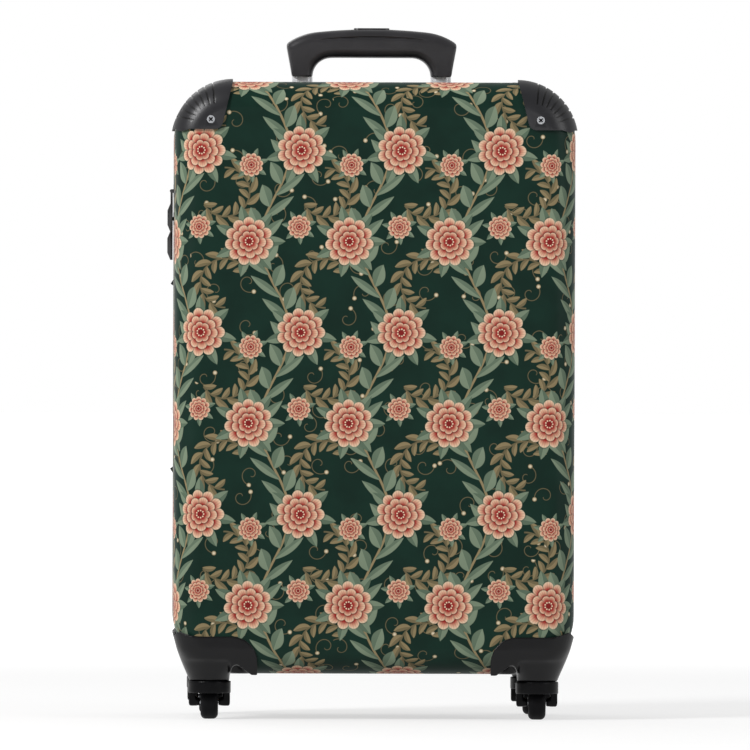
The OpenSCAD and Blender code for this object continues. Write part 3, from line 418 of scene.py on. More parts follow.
def leafy_group():
    """A stem with alternate pointed leaves, in distances along and across the stem."""
    w, given, out = new_group("Leafy Stem", {"Along": "value", "Across": "value", "Half Length": "value",
                                             "Pitch": "value", "Leaf Length": "value",
                                             "Leaf Width": "value", "Stem": "value"},
                              {"Stem Mask": "value", "Leaf Mask": "value", "Shade": "value"})
    lean = math.radians(40)
    leaf_edge, stem_edge, rib_half, rib_edge = 0.35, 0.3, 0.22, 0.3
    dark_half, light_half, tip_gain, rib_gain, fold = 0.15, 0.75, 0.2, 1.15, 0.25
    along, across = given["Along"], given["Across"]
    half_pitch = w.math("MULTIPLY", given["Pitch"], 0.5)
    masks, shades = [], []
    for side in (1.0, -1.0):
        reach = w.math("MULTIPLY", across, side)
        shifted = w.math("ADD", along, half_pitch if side > 0 else 0.0)
        cell = w.math("WRAP", shifted, half_pitch, w.math("MULTIPLY", half_pitch, -1.0))
        middle = w.math("ABSOLUTE", w.math("SUBTRACT", along, cell))
        from_foot = w.math("MULTIPLY_ADD", given["Leaf Length"], math.cos(lean) / 2, cell)
        down = w.math("ADD", w.math("MULTIPLY", from_foot, math.cos(lean)),
                      w.math("MULTIPLY", reach, math.sin(lean)))
        off = w.math("SUBTRACT", w.math("MULTIPLY", reach, math.cos(lean)),
                     w.math("MULTIPLY", from_foot, math.sin(lean)))
        share = w.math("DIVIDE", down, given["Leaf Length"])
        belly = w.math("MULTIPLY", w.math("MULTIPLY", share, w.math("SUBTRACT", 1.0, share)), 4.0)
        gap = w.math("SUBTRACT", w.math("ABSOLUTE", off), w.math("MULTIPLY", belly, given["Leaf Width"]))
        kept = w.math("MULTIPLY", w.math("GREATER_THAN", reach, 0.0),
                      w.math("LESS_THAN", middle, given["Half Length"]))
        mask = w.math("MULTIPLY", w.within(gap, leaf_edge), kept)
        rib = w.within(w.math("SUBTRACT", w.math("ABSOLUTE", off), rib_half), rib_edge)
        tone = w.math("ADD", w.ease(off, -fold, fold, dark_half, light_half),
                      w.math("MULTIPLY", share, tip_gain))
        masks.append(mask)
        bright = w.math("MAXIMUM", tone, w.math("MULTIPLY", rib, rib_gain))
        shades.append(w.math("MULTIPLY", mask, bright))
    line = w.math("SUBTRACT", w.math("ABSOLUTE", across), given["Stem"])
    ended = w.math("LESS_THAN", w.math("ABSOLUTE", along), given["Half Length"])
    w.feed(out["Stem Mask"], w.math("MULTIPLY", w.within(line, stem_edge), ended))
    w.feed(out["Leaf Mask"], w.math("MAXIMUM", *masks))
    w.feed(out["Shade"], w.math("MAXIMUM", *shades))
    return w.tree


def flower_group():
    """A round flower of three rings of petals over a collar of pointed leaves, in shares of its radius."""
    w, given, out = new_group("Ringed Flower", {"Local": "vector", "Radius": "value", "Petal": "colour",
                                                "Rim": "colour", "Heart": "colour", "Leaf": "colour",
                                                "Leaf Shade": "colour"},
                              {"Colour": "colour", "Mask": "value"})
    collar_leaves, collar_start, collar_reach, collar_bulge = 7, 0.42, 1.08, 0.84
    rib_half, scallop, rim_start, rim_share = 0.012, 0.6, 0.86, 0.7
    streaks, streak_depth, shadow_reach, shadow_tone = 5.0, 0.09, 0.085, 0.45
    eye_radius, eye_share, eye_dark = 0.17, 0.45, (0.02, 0.006, 0.006)
    dots, dot_ring, dot_radius = 9, 0.15, 0.032
    # Petals, turn, radius, dip between petals, and the shares where a petal's colour starts and is full
    rings = ((11, 0.0, 1.0, 0.2, 0.66, 0.92), (9, 0.3, 0.70, 0.19, 0.56, 0.92),
             (7, 0.1, 0.42, 0.2, 0.5, 1.0))
    x, y, _ = w.split(given["Local"])
    away = w.math("DIVIDE", w.vector("LENGTH", given["Local"]), given["Radius"])
    turn = w.math("ARCTAN2", y, x)

    def sector(count, phase):
        """Angle from the middle of one of a number of equal sectors."""
        return w.math("WRAP", w.math("ADD", turn, phase), math.pi / count, -math.pi / count)

    aside = w.math("MULTIPLY", sector(collar_leaves, 0.2), away)
    share = w.math("DIVIDE", w.math("SUBTRACT", away, collar_start), collar_reach)
    belly = w.math("MULTIPLY", w.math("MULTIPLY", share, w.math("SUBTRACT", 1.0, share)), collar_bulge)
    collar = w.within(w.math("SUBTRACT", w.math("ABSOLUTE", aside), belly), feather=0.018)
    rib = w.within(w.math("SUBTRACT", w.math("ABSOLUTE", aside), rib_half), feather=0.015)
    tone = w.math("MAXIMUM", w.ease(aside, -0.02, 0.02, 0.1, 0.75), rib)
    colour = w.mix(tone, given["Leaf Shade"], given["Leaf"])
    mask = collar
    for count, phase, reach, dip, foot, full in rings:
        lobe = w.math("ABSOLUTE", w.math("COSINE", w.math("MULTIPLY_ADD", turn, count / 2, phase)))
        edge = w.math("MULTIPLY_ADD", w.math("POWER", lobe, scallop), dip * reach, (1 - dip) * reach)
        gap = w.math("SUBTRACT", away, edge)
        inside = w.within(gap, feather=0.02)
        part = w.math("DIVIDE", away, edge)
        petal = w.mix(w.ease(part, foot, full), given["Heart"], given["Petal"])
        petal = w.mix(w.ease(part, rim_start, 1.0, 0.0, rim_share), petal, given["Rim"])
        streak = w.math("COSINE", w.math("MULTIPLY", turn, count * streaks))
        crease = w.math("MULTIPLY", w.ease(lobe, 0.02, 0.4, 0.6, 1.0),
                        w.math("MULTIPLY_ADD", streak, streak_depth, 1 - streak_depth))
        petal = w.mix(1.0, petal, w.joined(crease, crease, crease), "MULTIPLY")
        cast = w.ease(gap, 0.0, shadow_reach, shadow_tone, 1.0)
        colour = w.mix(1.0, colour, w.joined(cast, cast, cast), "MULTIPLY")
        colour = w.mix(inside, colour, petal)
        mask = w.math("MAXIMUM", mask, inside)
    eye = w.within(w.math("SUBTRACT", away, eye_radius), feather=0.03)
    colour = w.mix(eye, colour, w.mix(eye_share, given["Heart"], eye_dark))
    along = w.math("MULTIPLY", sector(dots, 0.0), dot_ring)
    dot = w.vector("LENGTH", w.joined(w.math("SUBTRACT", away, dot_ring), along))
    colour = w.mix(w.within(w.math("SUBTRACT", dot, dot_radius), feather=0.02), colour, given["Rim"])
    w.feed(out["Colour"], colour)
    w.feed(out["Mask"], mask)
    return w.tree


def tendril_group():
    """Curled tendrils strewn over the ground, each with a bud at its outer end."""
    w, given, out = new_group("Tendrils", {"Print": "vector", "Cell": "value"},
                              {"Line": "value", "Bud": "value", "Bud Shade": "value"})
    start, growth, line_half, bud_radius, bud_rise = 5.2, 1.25, 0.34, 1.9, 0.6
    cells = w.vector("DIVIDE", given["Print"], w.joined(given["Cell"], given["Cell"], 1.0))
    voronoi = w.filled(w.add("ShaderNodeTexVoronoi", voronoi_dimensions="2D"),
                       {"Vector": cells, "Scale": 1.0, "Randomness": 0.75})
    offset = w.vector("SUBTRACT", cells, voronoi.outputs["Position"])
    chance, _, _ = w.split(voronoi.outputs["Color"])
    local = w.turned(w.scaled(offset, given["Cell"]), w.math("MULTIPLY", chance, 2 * math.pi))
    x, y, _ = w.split(local)
    away = w.vector("LENGTH", w.joined(x, y))
    curl = w.math("MULTIPLY_ADD", w.math("ARCTAN2", y, x), growth, start)
    line = w.math("SUBTRACT", w.math("ABSOLUTE", w.math("SUBTRACT", away, curl)), line_half)
    w.feed(out["Line"], w.within(line, feather=0.3))
    end = start + growth * math.pi
    bud = w.vector("LENGTH", w.joined(w.math("ADD", x, end), w.math("SUBTRACT", y, bud_rise)))
    w.feed(out["Bud"], w.within(w.math("SUBTRACT", bud, bud_radius), feather=0.35))
    w.feed(out["Bud Shade"], w.ease(bud, 0.5, bud_radius))
    return w.tree


def grain_group():
    """Fine moulded grain: a height for a bump and a change of roughness and tone."""
    w, given, out = new_group("Moulded Grain", {"Place": "vector", "Size": "value"},
                              {"Height": "value", "Gloss": "value", "Tone": "value"})
    scale = w.math("DIVIDE", 1.0, given["Size"])
    coarser = 0.02
    fine = w.noise(given["Place"], scale, detail=3.0, rough=0.6)
    broad = w.noise(given["Place"], w.math("MULTIPLY", scale, coarser), detail=3.0, rough=0.55)
    w.feed(out["Height"], fine)
    w.feed(out["Gloss"], w.math("MULTIPLY_ADD", broad, 0.6, w.math("MULTIPLY", fine, 0.4)))
    w.feed(out["Tone"], w.ease(broad, 0.3, 0.7))
    return w.tree


def weave_group():
    """Plain weave in two directions: a height for a bump and a tone that follows the threads."""
    w, given, out = new_group("Plain Weave", {"Across": "value", "Along": "value", "Thread": "value"},
                              {"Height": "value", "Tone": "value"})
    turns = w.math("DIVIDE", math.pi, given["Thread"])
    warp = w.math("SINE", w.math("MULTIPLY", given["Across"], turns))
    weft = w.math("SINE", w.math("MULTIPLY", given["Along"], turns))
    over = w.math("MULTIPLY", warp, weft)
    ridge = w.math("MAXIMUM", w.math("ABSOLUTE", warp), w.math("ABSOLUTE", weft))
    w.feed(out["Height"], w.math("MULTIPLY_ADD", over, 0.35, w.math("MULTIPLY", ridge, 0.65)))
    w.feed(out["Tone"], w.ease(over, -0.8, 0.8))
    return w.tree


GROUPS = {}


def group_tree(make):
    """The node group that a function makes, made once."""
    if make.__name__ not in GROUPS:
        GROUPS[make.__name__] = make()
    return GROUPS[make.__name__]


def reopened(material):
    """Wires and Principled shader of a material."""
    return Wires(material.node_tree), material.node_tree.nodes["Principled BSDF"]


def new_material(name):
    """A material with its Principled shader; gives the material, its wires and the shader's node."""
    material = bpy.data.materials.new(name)
    material.use_nodes = True
    return material, *reopened(material)


def toned(colour, factor):
    """A colour made darker or lighter."""
    return [min(c * factor, 1.0) for c in colour]


def add_painted_shade(w, shader, mask, colour):
    """Paints shade into a made material: another colour where a mask is 1."""
    plain = shader.inputs["Base Color"].links[0].from_socket
    w.feed(shader.inputs["Base Color"], w.mix(mask, plain, colour))


def shown(material, colour):
    """Sets the flat colour that the viewport shows."""
    material.diffuse_color = (*colour, 1.0)
    return material


def printed_shell_material(look):
    """Satin moulded shell with climbing stems, ringed flowers, sprigs and tendrils."""
    material, w, shader = new_material("printed_shell")
    place = w.object_place()
    on_print = w.group(group_tree(unrolled_group), Place=place)["Print"]
    column, row = look.column * MILLI, look.row * MILLI

    def repeated(right, up, turn=0.0):
        """Place on a motif that stands in every column and row."""
        return w.group(group_tree(repeat_group), Print=on_print, Column=column, Row=row,
                       Right=right * column, Up=up * row, Turn=turn)["Local"]

    cloud = w.noise(on_print, scale=0.03, detail=3.0)
    colour = w.mix(w.ease(cloud, 0.3, 0.7), toned(look.ground, 0.82), toned(look.ground, 1.12))

    curls = w.group(group_tree(tendril_group), Print=on_print, Cell=31.0)
    colour = w.mix(curls["Line"], colour, look.sprig_shade)
    colour = w.mix(curls["Bud"], colour, w.mix(curls["Bud Shade"], look.bud, look.sprig))

    arc = 21.0
    for right, up, turn in ((0.5, 0.02, 0.5), (0.5, 0.52, 0.5 + math.pi)):
        local = repeated(right, up, turn)
        x, y, _ = w.split(local)
        bend = w.math("ARCTAN2", y, x)
        sprig = w.group(group_tree(leafy_group), Along=w.math("MULTIPLY", bend, arc),
                        Across=w.math("SUBTRACT", w.vector("LENGTH", local), arc),
                        Half_Length=44.0, Pitch=10.0, Leaf_Length=14.0, Leaf_Width=2.7, Stem=0.7)
        colour = w.mix(sprig["Stem Mask"], colour, look.sprig_shade)
        colour = w.mix(sprig["Leaf Mask"], colour, w.mix(sprig["Shade"], look.sprig_shade, look.sprig))

    x, y, _ = w.split(repeated(0.0, 0.0))
    sway = w.math("MULTIPLY", w.math("SINE", w.math("MULTIPLY", y, 2 * math.pi / row)), 0.15 * column)
    vine = w.group(group_tree(leafy_group), Along=y, Across=w.math("SUBTRACT", x, sway),
                   Half_Length=row, Pitch=row / 8, Leaf_Length=25.0, Leaf_Width=4.6, Stem=1.1)
    colour = w.mix(vine["Stem Mask"], colour, look.sprig)
    colour = w.mix(vine["Leaf Mask"], colour, w.mix(vine["Shade"], look.leaf_shade, look.leaf))

    # Place in columns and rows, turn and radius
    for right, up, turn, radius in ((-0.24, 0.17, 0.4, look.floret), (0.24, -0.17, 1.3, look.floret),
                                    (0.26, 0.25, 0.0, look.flower), (-0.26, -0.25, 0.7, look.flower)):
        flower = w.group(group_tree(flower_group), Local=repeated(right, up, turn), Radius=radius * MILLI,
                         Petal=look.petal, Rim=look.rim, Heart=look.heart, Leaf=look.leaf,
                         Leaf_Shade=look.leaf_shade)
        colour = w.mix(flower["Mask"], colour, flower["Colour"])

    peel = w.noise(place, scale=260.0)
    w.feed(shader.inputs["Base Color"], colour)
    handled = w.noise(place, scale=40.0, detail=3.0)
    w.feed(shader.inputs["Roughness"], w.math("MULTIPLY_ADD", handled, 0.1, 0.36))
    w.feed(shader.inputs["Normal"], w.bump(peel, strength=0.06, distance=0.0004))
    shader.inputs["Specular IOR Level"].default_value = 0.14
    return shown(material, look.ground)


def plastic_material(name, colour, roughness, grain=0.0005, depth=0.12, shine=0.25):
    """Moulded plastic or rubber with a fine grain."""
    material, w, shader = new_material(name)
    relief = w.group(group_tree(grain_group), Place=w.object_place(), Size=grain)
    w.feed(shader.inputs["Base Color"], w.mix(relief["Tone"], toned(colour, 0.8), toned(colour, 1.15)))
    w.feed(shader.inputs["Roughness"], w.math("MULTIPLY_ADD", relief["Gloss"], 0.18, roughness - 0.09))
    w.feed(shader.inputs["Normal"], w.bump(relief["Height"], depth, distance=grain * 0.5))
    shader.inputs["Specular IOR Level"].default_value = shine
    return shown(material, colour)


def guard_material(look, size):
    """Moulded plastic, with painted shade down in the fan of grooves round each corner."""
    material = plastic_material("guard_plastic", look.guard, roughness=0.34, grain=0.0006, shine=0.42)
    w, shader = reopened(material)
    x, _, z = w.split(w.object_place())
    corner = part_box("front_shell")[1]
    u = w.math("SUBTRACT", w.math("ABSOLUTE", x), corner.x - size.fan_in)
    v = w.math("SUBTRACT", z, corner.z - size.fan_down)
    radius = w.vector("LENGTH", w.joined(u, v))
    turn = w.math("DIVIDE", w.math("SUBTRACT", w.math("ARCTAN2", v, u), size.fan_first), size.fan_step)
    nearest = w.math("MINIMUM", w.math("MAXIMUM", w.math("ROUND", turn), 0.0), size.fan_count - 1.0)
    swing = w.math("MULTIPLY", w.math("SUBTRACT", turn, nearest), size.fan_step)
    aside = w.math("MULTIPLY", w.math("SINE", swing), radius)
    off = w.math("SUBTRACT", w.math("ABSOLUTE", aside), size.fan_groove / 2)
    start = w.math("SUBTRACT", size.fan_start - size.fan_groove / 2, radius)
    groove = w.within(w.math("MAXIMUM", off, start), size.fan_groove / 5)
    # Painted shade: the grooves turn near-black where the mask is 1
    add_painted_shade(w, shader, groove, toned(look.guard, 0.12))
    return material


def metal_material(name, colour, roughness, along=(1.0, 1.0, 0.02), enamel=False, metallic=1.0):
    """Brushed or enamelled metal, with fine lines along one direction."""
    material, w, shader = new_material(name)
    lines = w.noise(w.vector("MULTIPLY", w.object_place(), along), scale=2600.0)
    shader.inputs["Metallic"].default_value = 0.0 if enamel else metallic
    shader.inputs["Coat Weight"].default_value = 0.4 if enamel else 0.0
    w.feed(shader.inputs["Base Color"], w.mix(lines, toned(colour, 0.9), toned(colour, 1.08)))
    w.feed(shader.inputs["Roughness"], w.math("MULTIPLY_ADD", lines, 0.16, roughness - 0.08))
    w.feed(shader.inputs["Normal"], w.bump(lines, strength=0.08, distance=0.0002))
    return shown(material, colour)


def screw_material(look, size):
    """Bright screw heads, with painted shade down in their cross recesses."""
    material = metal_material("screw_steel", look.steel, roughness=0.2, along=(1, 1, 1))
    w, shader = reopened(material)
    _, y, _ = w.split(w.object_place())
    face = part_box("back_guard_screws")[1].y
    # Painted shade: below the head's face the recesses turn near-black
    deep = w.math("LESS_THAN", w.math("ABSOLUTE", y), face - size.recess)
    add_painted_shade(w, shader, deep, toned(look.steel, 0.03))
    return material


def cloth_material(name, colour, thread, flat=False):
    """Woven cloth in the plane of the case's face, or wound round its sides when it isn't flat."""
    material, w, shader = new_material(name)
    x, y, z = w.split(w.object_place())
    if flat:
        across, along = x, w.math("ADD", z, y)
    else:
        across, along = y, w.math("ADD", z, x)
    weave = w.group(group_tree(weave_group), Across=across, Along=along, Thread=thread)
    cloud = w.ease(w.noise(w.object_place(), scale=18.0, detail=3.0), 0.3, 0.7, 0.0, 0.25)
    tone = w.mix(weave["Tone"], toned(colour, 0.62), toned(colour, 1.25))
    w.feed(shader.inputs["Base Color"], w.mix(cloud, tone, toned(colour, 0.6)))
    w.feed(shader.inputs["Roughness"], w.math("MULTIPLY_ADD", weave["Height"], -0.15, 0.92))
    w.feed(shader.inputs["Normal"], w.bump(weave["Height"], strength=0.5, distance=thread * 0.4))
    shader.inputs["Sheen Weight"].default_value = 0.25
    return shown(material, colour)


def net_material(name, colour):
    """Elastic net of fine cords, open between them."""
    material, w, shader = new_material(name)
    half_mesh, half_cord, cord_edge = 1.8, 0.42, 0.12
    x, _, z = w.split(w.object_place())
    cords = []
    for way in (1.0, -1.0):
        slant = w.math("MULTIPLY", w.math("MULTIPLY_ADD", z, way, x), MILLI)
        cords.append(w.math("ABSOLUTE", w.math("WRAP", slant, half_mesh, -half_mesh)))
    line = w.math("SUBTRACT", w.math("MINIMUM", *cords), half_cord)
    # Painted shading: the cords are lighter along their middles and darker at their edges
    shade = w.ease(line, -half_cord, 0.0)
    w.feed(shader.inputs["Base Color"], w.mix(shade, toned(colour, 1.3), toned(colour, 0.5)))
    w.feed(shader.inputs["Alpha"], w.within(line, cord_edge))
    w.feed(shader.inputs["Normal"], w.bump(w.math("SUBTRACT", 1.0, shade), strength=0.6, distance=0.0004))
    shader.inputs["Roughness"].default_value = 0.8
    return shown(material, colour)


def only(piece):
    """Selects one object and makes it active."""
    bpy.ops.object.select_all(action="DESELECT")
    piece.select_set(True)
    bpy.context.view_layer.objects.active = piece


def copied(node, name):
    """A free copy of a CAD node, with its loose triangles joined."""
    piece = NODES[node].copy()
    piece.data = NODES[node].data.copy()
    piece.name = piece.data.name = name
    piece.parent = None
    piece.matrix_world = Matrix.Identity(4)
    for key in list(piece.keys()):
        if key.startswith("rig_"):
            del piece[key]
    bpy.context.scene.collection.objects.link(piece)
    only(piece)
    bpy.ops.mesh.customdata_custom_splitnormals_clear()
    bpy.ops.object.mode_set(mode="EDIT")
    bpy.ops.mesh.select_all(action="SELECT")
    bpy.ops.mesh.remove_doubles(threshold=WELD)
    bpy.ops.mesh.dissolve_limited(angle_limit=FLAT)
    bpy.ops.object.mode_set(mode="OBJECT")
    return piece


def smoothed(piece, degrees):
    """Shades a piece smooth, apart from edges that bend by more than an angle."""
    only(piece)
    bpy.ops.object.shade_smooth_by_angle(angle=math.radians(degrees))


def softened(node, name, material, width):
    """A copy of a CAD node whose edges are rounded, standing for that node."""
    piece = copied(node, name)
    applied(piece, "BEVEL", width=width, segments=2, limit_method="ANGLE", angle_limit=SHARP)
    smoothed(piece, 35)
    finish_piece(piece, material, node)


def moulded(nodes, name, step, rounds, softness):
    """Copies of CAD nodes as one moulding; softness tells how far its surface is rounded at a place."""
    piece = copied(nodes[0], name)
    for node in nodes[1:]:
        part = copied(node, f"{name}_part")
        only(piece)
        part.select_set(True)
        bpy.ops.object.join()
    applied(piece, "REMESH", mode="VOXEL", voxel_size=step)
    soft = piece.vertex_groups.new(name="soft")
    for point in piece.data.vertices:
        soft.add([point.index], min(max(softness(*point.co), 0.0), 1.0), "REPLACE")
    applied(piece, "SMOOTH", factor=0.5, iterations=rounds, vertex_group=soft.name)
    piece.vertex_groups.clear()
    only(piece)
    bpy.ops.object.shade_smooth()
    return piece


def finish_piece(piece, material, *nodes):
    """Gives a piece its material and lets it stand for CAD nodes, on the body of the first."""
    dressed(piece, material, NODES[nodes[0]]["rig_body"])
    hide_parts(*nodes)


def dressed(piece, material, body):
    """Gives a piece its material and lets it move with a body."""
    piece.data.materials.clear()
    piece.data.materials.append(material)
    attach(piece, body)


def applied(piece, kind, **settings):
    """Adds a modifier to a piece and applies it."""
    only(piece)
    modifier = piece.modifiers.new(kind.lower(), kind)
    for key, value in settings.items():
        setattr(modifier, key, value)
    bpy.ops.object.modifier_apply(modifier=modifier.name)


def settled(piece):
    """Puts a piece's place, turn and scale into its mesh."""
    only(piece)
    bpy.ops.object.transform_apply(location=True, rotation=True, scale=True)
    return piece


def block(name, low, high):
    """A box between two corners."""
    bpy.ops.object.select_all(action="DESELECT")
    low, high = Vector(low), Vector(high)
    bpy.ops.mesh.primitive_cube_add(size=1, location=(low + high) / 2)
    piece = bpy.context.object
    piece.name = piece.data.name = name
    piece.scale = high - low
    return settled(piece)


def strip(name, length, width, steps, rows):
    """A flat strip along X from the origin, in the XZ plane, with its normal to the front."""
    bpy.ops.object.select_all(action="DESELECT")
    bpy.ops.mesh.primitive_grid_add(x_subdivisions=steps, y_subdivisions=rows, size=1,
                                    location=(length / 2, 0, 0), rotation=(math.pi / 2, 0, 0))
    piece = bpy.context.object
    piece.name = piece.data.name = name
    piece.scale = (length, width, 1)
    return settled(piece)


def edit_chosen(piece, kind, wanted, operation, **settings):
    """Selects the edges or faces of a piece that pass a test and runs one mesh operation on them."""
    only(piece)
    bpy.ops.object.mode_set(mode="EDIT")
    bpy.context.tool_settings.mesh_select_mode = (False, kind == "edges", kind == "polygons")
    bpy.ops.mesh.select_all(action="DESELECT")
    bpy.ops.object.mode_set(mode="OBJECT")
    for part in getattr(piece.data, kind):
        part.select = wanted(part)
    bpy.ops.object.mode_set(mode="EDIT")
    operation(**settings)
    bpy.ops.object.mode_set(mode="OBJECT")


def runs_along(piece, axis):
    """A test for edges of a piece that run along one axis."""
    def test(edge):
        ends = [piece.data.vertices[i].co for i in edge.vertices]
        return abs((ends[1] - ends[0]).normalized()[axis]) > 0.999
    return test


def sheet_area(piece):
    """Area of all faces of a piece."""
    return sum(face.area for face in piece.data.polygons)


def painted(material, *nodes):
    """Gives CAD nodes a material."""
    for node in nodes:
        piece = NODES[node]
        piece.data.materials.clear()
        piece.data.materials.append(material)


class SUITCASE_OT_shells(bpy.types.Operator):
    """Print the flower pattern on both shells"""
    bl_idname = "suitcase.shells"
    bl_label = "Printed Shells"

    def execute(self, context):
        painted(printed_shell_material(context.scene.suitcase_print), "front_shell", "back_shell")
        return {"FINISHED"}


class SUITCASE_OT_guards(bpy.types.Operator):
    """Round the edges of the corner guards and polish their screws"""
    bl_idname = "suitcase.guards"
    bl_label = "Corner Guards"

    def execute(self, context):
        look, size = context.scene.suitcase_fittings, context.scene.suitcase_guards
        plastic = guard_material(look, size)
        for corner in CORNERS:
            softened(f"corner_guard_{corner}", f"guard_{corner}", plastic, size.edge)
        painted(screw_material(look, size), "front_guard_screws", "back_guard_screws")
        return {"FINISHED"}


class SUITCASE_OT_casters(bpy.types.Operator):
    """Finish the wheel housings, forks, wheels and tyres"""
    bl_idname = "suitcase.casters"
    bl_label = "Housings and Casters"

    def execute(self, context):
        look, size = context.scene.suitcase_fittings, context.scene.suitcase_casters
        housing = plastic_material("housing_plastic", look.housing, roughness=0.32, grain=0.0006,
                                   shine=0.27)
        fork = plastic_material("fork_plastic", look.housing, roughness=0.3, grain=0.0005, shine=0.12)
        hub = plastic_material("hub_plastic", look.hub, roughness=0.45, grain=0.0004)
        tyre = plastic_material("tyre_rubber", look.tyre, roughness=0.6, grain=0.0004, depth=0.2, shine=0.1)
        steel = metal_material("axle_steel", look.steel, roughness=0.28, along=(0.02, 1, 1))
        for corner in CORNERS:
            self.mould_housing(corner, size, housing)
            self.mould_fork(corner, size, fork)
            painted(hub, f"hub_{corner}")
            painted(tyre, f"tyre_{corner}")
            painted(steel, f"axle_{corner}", f"swivel_pin_{corner}")
        return {"FINISHED"}

    def mould_housing(self, corner, size, material):
        """A wheel housing whose boot flows softly into its neck."""
        node = f"wheel_housing_{corner}"
        foot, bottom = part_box(node)[0].z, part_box("front_shell")[0].z
        pin_low, pin_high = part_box(f"swivel_pin_{corner}")
        axis = (pin_low + pin_high) / 2

        def softness(x, y, z):
            aside = min(abs(x - axis.x), abs(y - axis.y))
            return min((bottom + size.neck_rise - z) / size.housing_fade,
                       (z - foot - size.foot_keep) / size.foot_fade,
                       (size.neck_reach - aside) / size.housing_fade)

        piece = moulded((node,), f"housing_{corner}", size.housing_step, size.housing_rounds, softness)
        finish_piece(piece, material, node)

    def mould_fork(self, corner, size, material):
        """A fork that is softened all over."""
        node = f"fork_{corner}"
        piece = moulded((node,), f"caster_{node}", size.fork_step, size.fork_rounds, lambda x, y, z: 1.0)
        finish_piece(piece, material, node)


class SUITCASE_OT_trolley(bpy.types.Operator):
    """Finish the grip, its button, the tubes and the cup"""
    bl_idname = "suitcase.trolley"
    bl_label = "Trolley"

    def execute(self, context):
        look, size = context.scene.suitcase_fittings, context.scene.suitcase_trolley
        grip = plastic_material("grip_plastic", look.grip, roughness=0.32, grain=0.0005, shine=0.55)
        cup = plastic_material("cup_plastic", look.housing, roughness=0.45, grain=0.0008)
        tube = metal_material("tube_aluminium", look.tube, roughness=0.3, metallic=0.3)
        self.mould_grip(size, grip)
        softened("release_button", "trolley_button", grip, size.button_edge)
        softened("handle_cup", "trolley_cup", cup, size.cup_edge)
        painted(tube, "inner_tube_left", "inner_tube_right", "outer_tube_left", "outer_tube_right")
        painted(cup, "tube_foot", "tube_plugs")
        return {"FINISHED"}

    def mould_grip(self, size, material):
        """The grip and its top as one soft moulding, with a shallow line where they meet."""
        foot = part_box("inner_tube_left")[1].z
        low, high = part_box("release_button")

        def softness(x, y, z):
            share = (z - foot - size.foot_keep) / size.grip_fade
            if z > low.z - size.button_below:
                beside = max(low.x - x, x - high.x, low.y - y, y - high.y)
                share = min(share, beside / size.button_fade)
            return share

        grip = moulded(("grip", "grip_cap"), "trolley_grip", size.grip_step, size.grip_rounds, softness)
        self.crease_grip(grip, size)
        around = Vector((size.button_gap, size.button_gap, size.button_travel))
        slot = block("button_slot", low - around, high + around)
        applied(grip, "BOOLEAN", operation="DIFFERENCE", object=slot, solver="EXACT")
        bpy.data.objects.remove(slot)
        smoothed(grip, 40)
        finish_piece(grip, material, "grip", "grip_cap")

    def crease_grip(self, grip, size):
        """Presses the line into the grip's front and back."""
        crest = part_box("grip_cap")[1].z
        upright, ends = 0.5, 3.0
        normals = [point.normal.copy() for point in grip.data.vertices]
        for point, normal in zip(grip.data.vertices, normals):
            arch = size.grip_arch - math.sqrt(size.grip_arch ** 2 - point.co.x ** 2)
            off = (point.co.z - crest + arch + size.crease_drop) / size.crease_width
            if abs(normal.y) > upright and abs(off) < ends:
                fade = max(0.0, 1 - (point.co.x / size.crease_reach) ** 4)
                point.co -= normal * (size.crease_depth * fade * math.exp(-off * off))


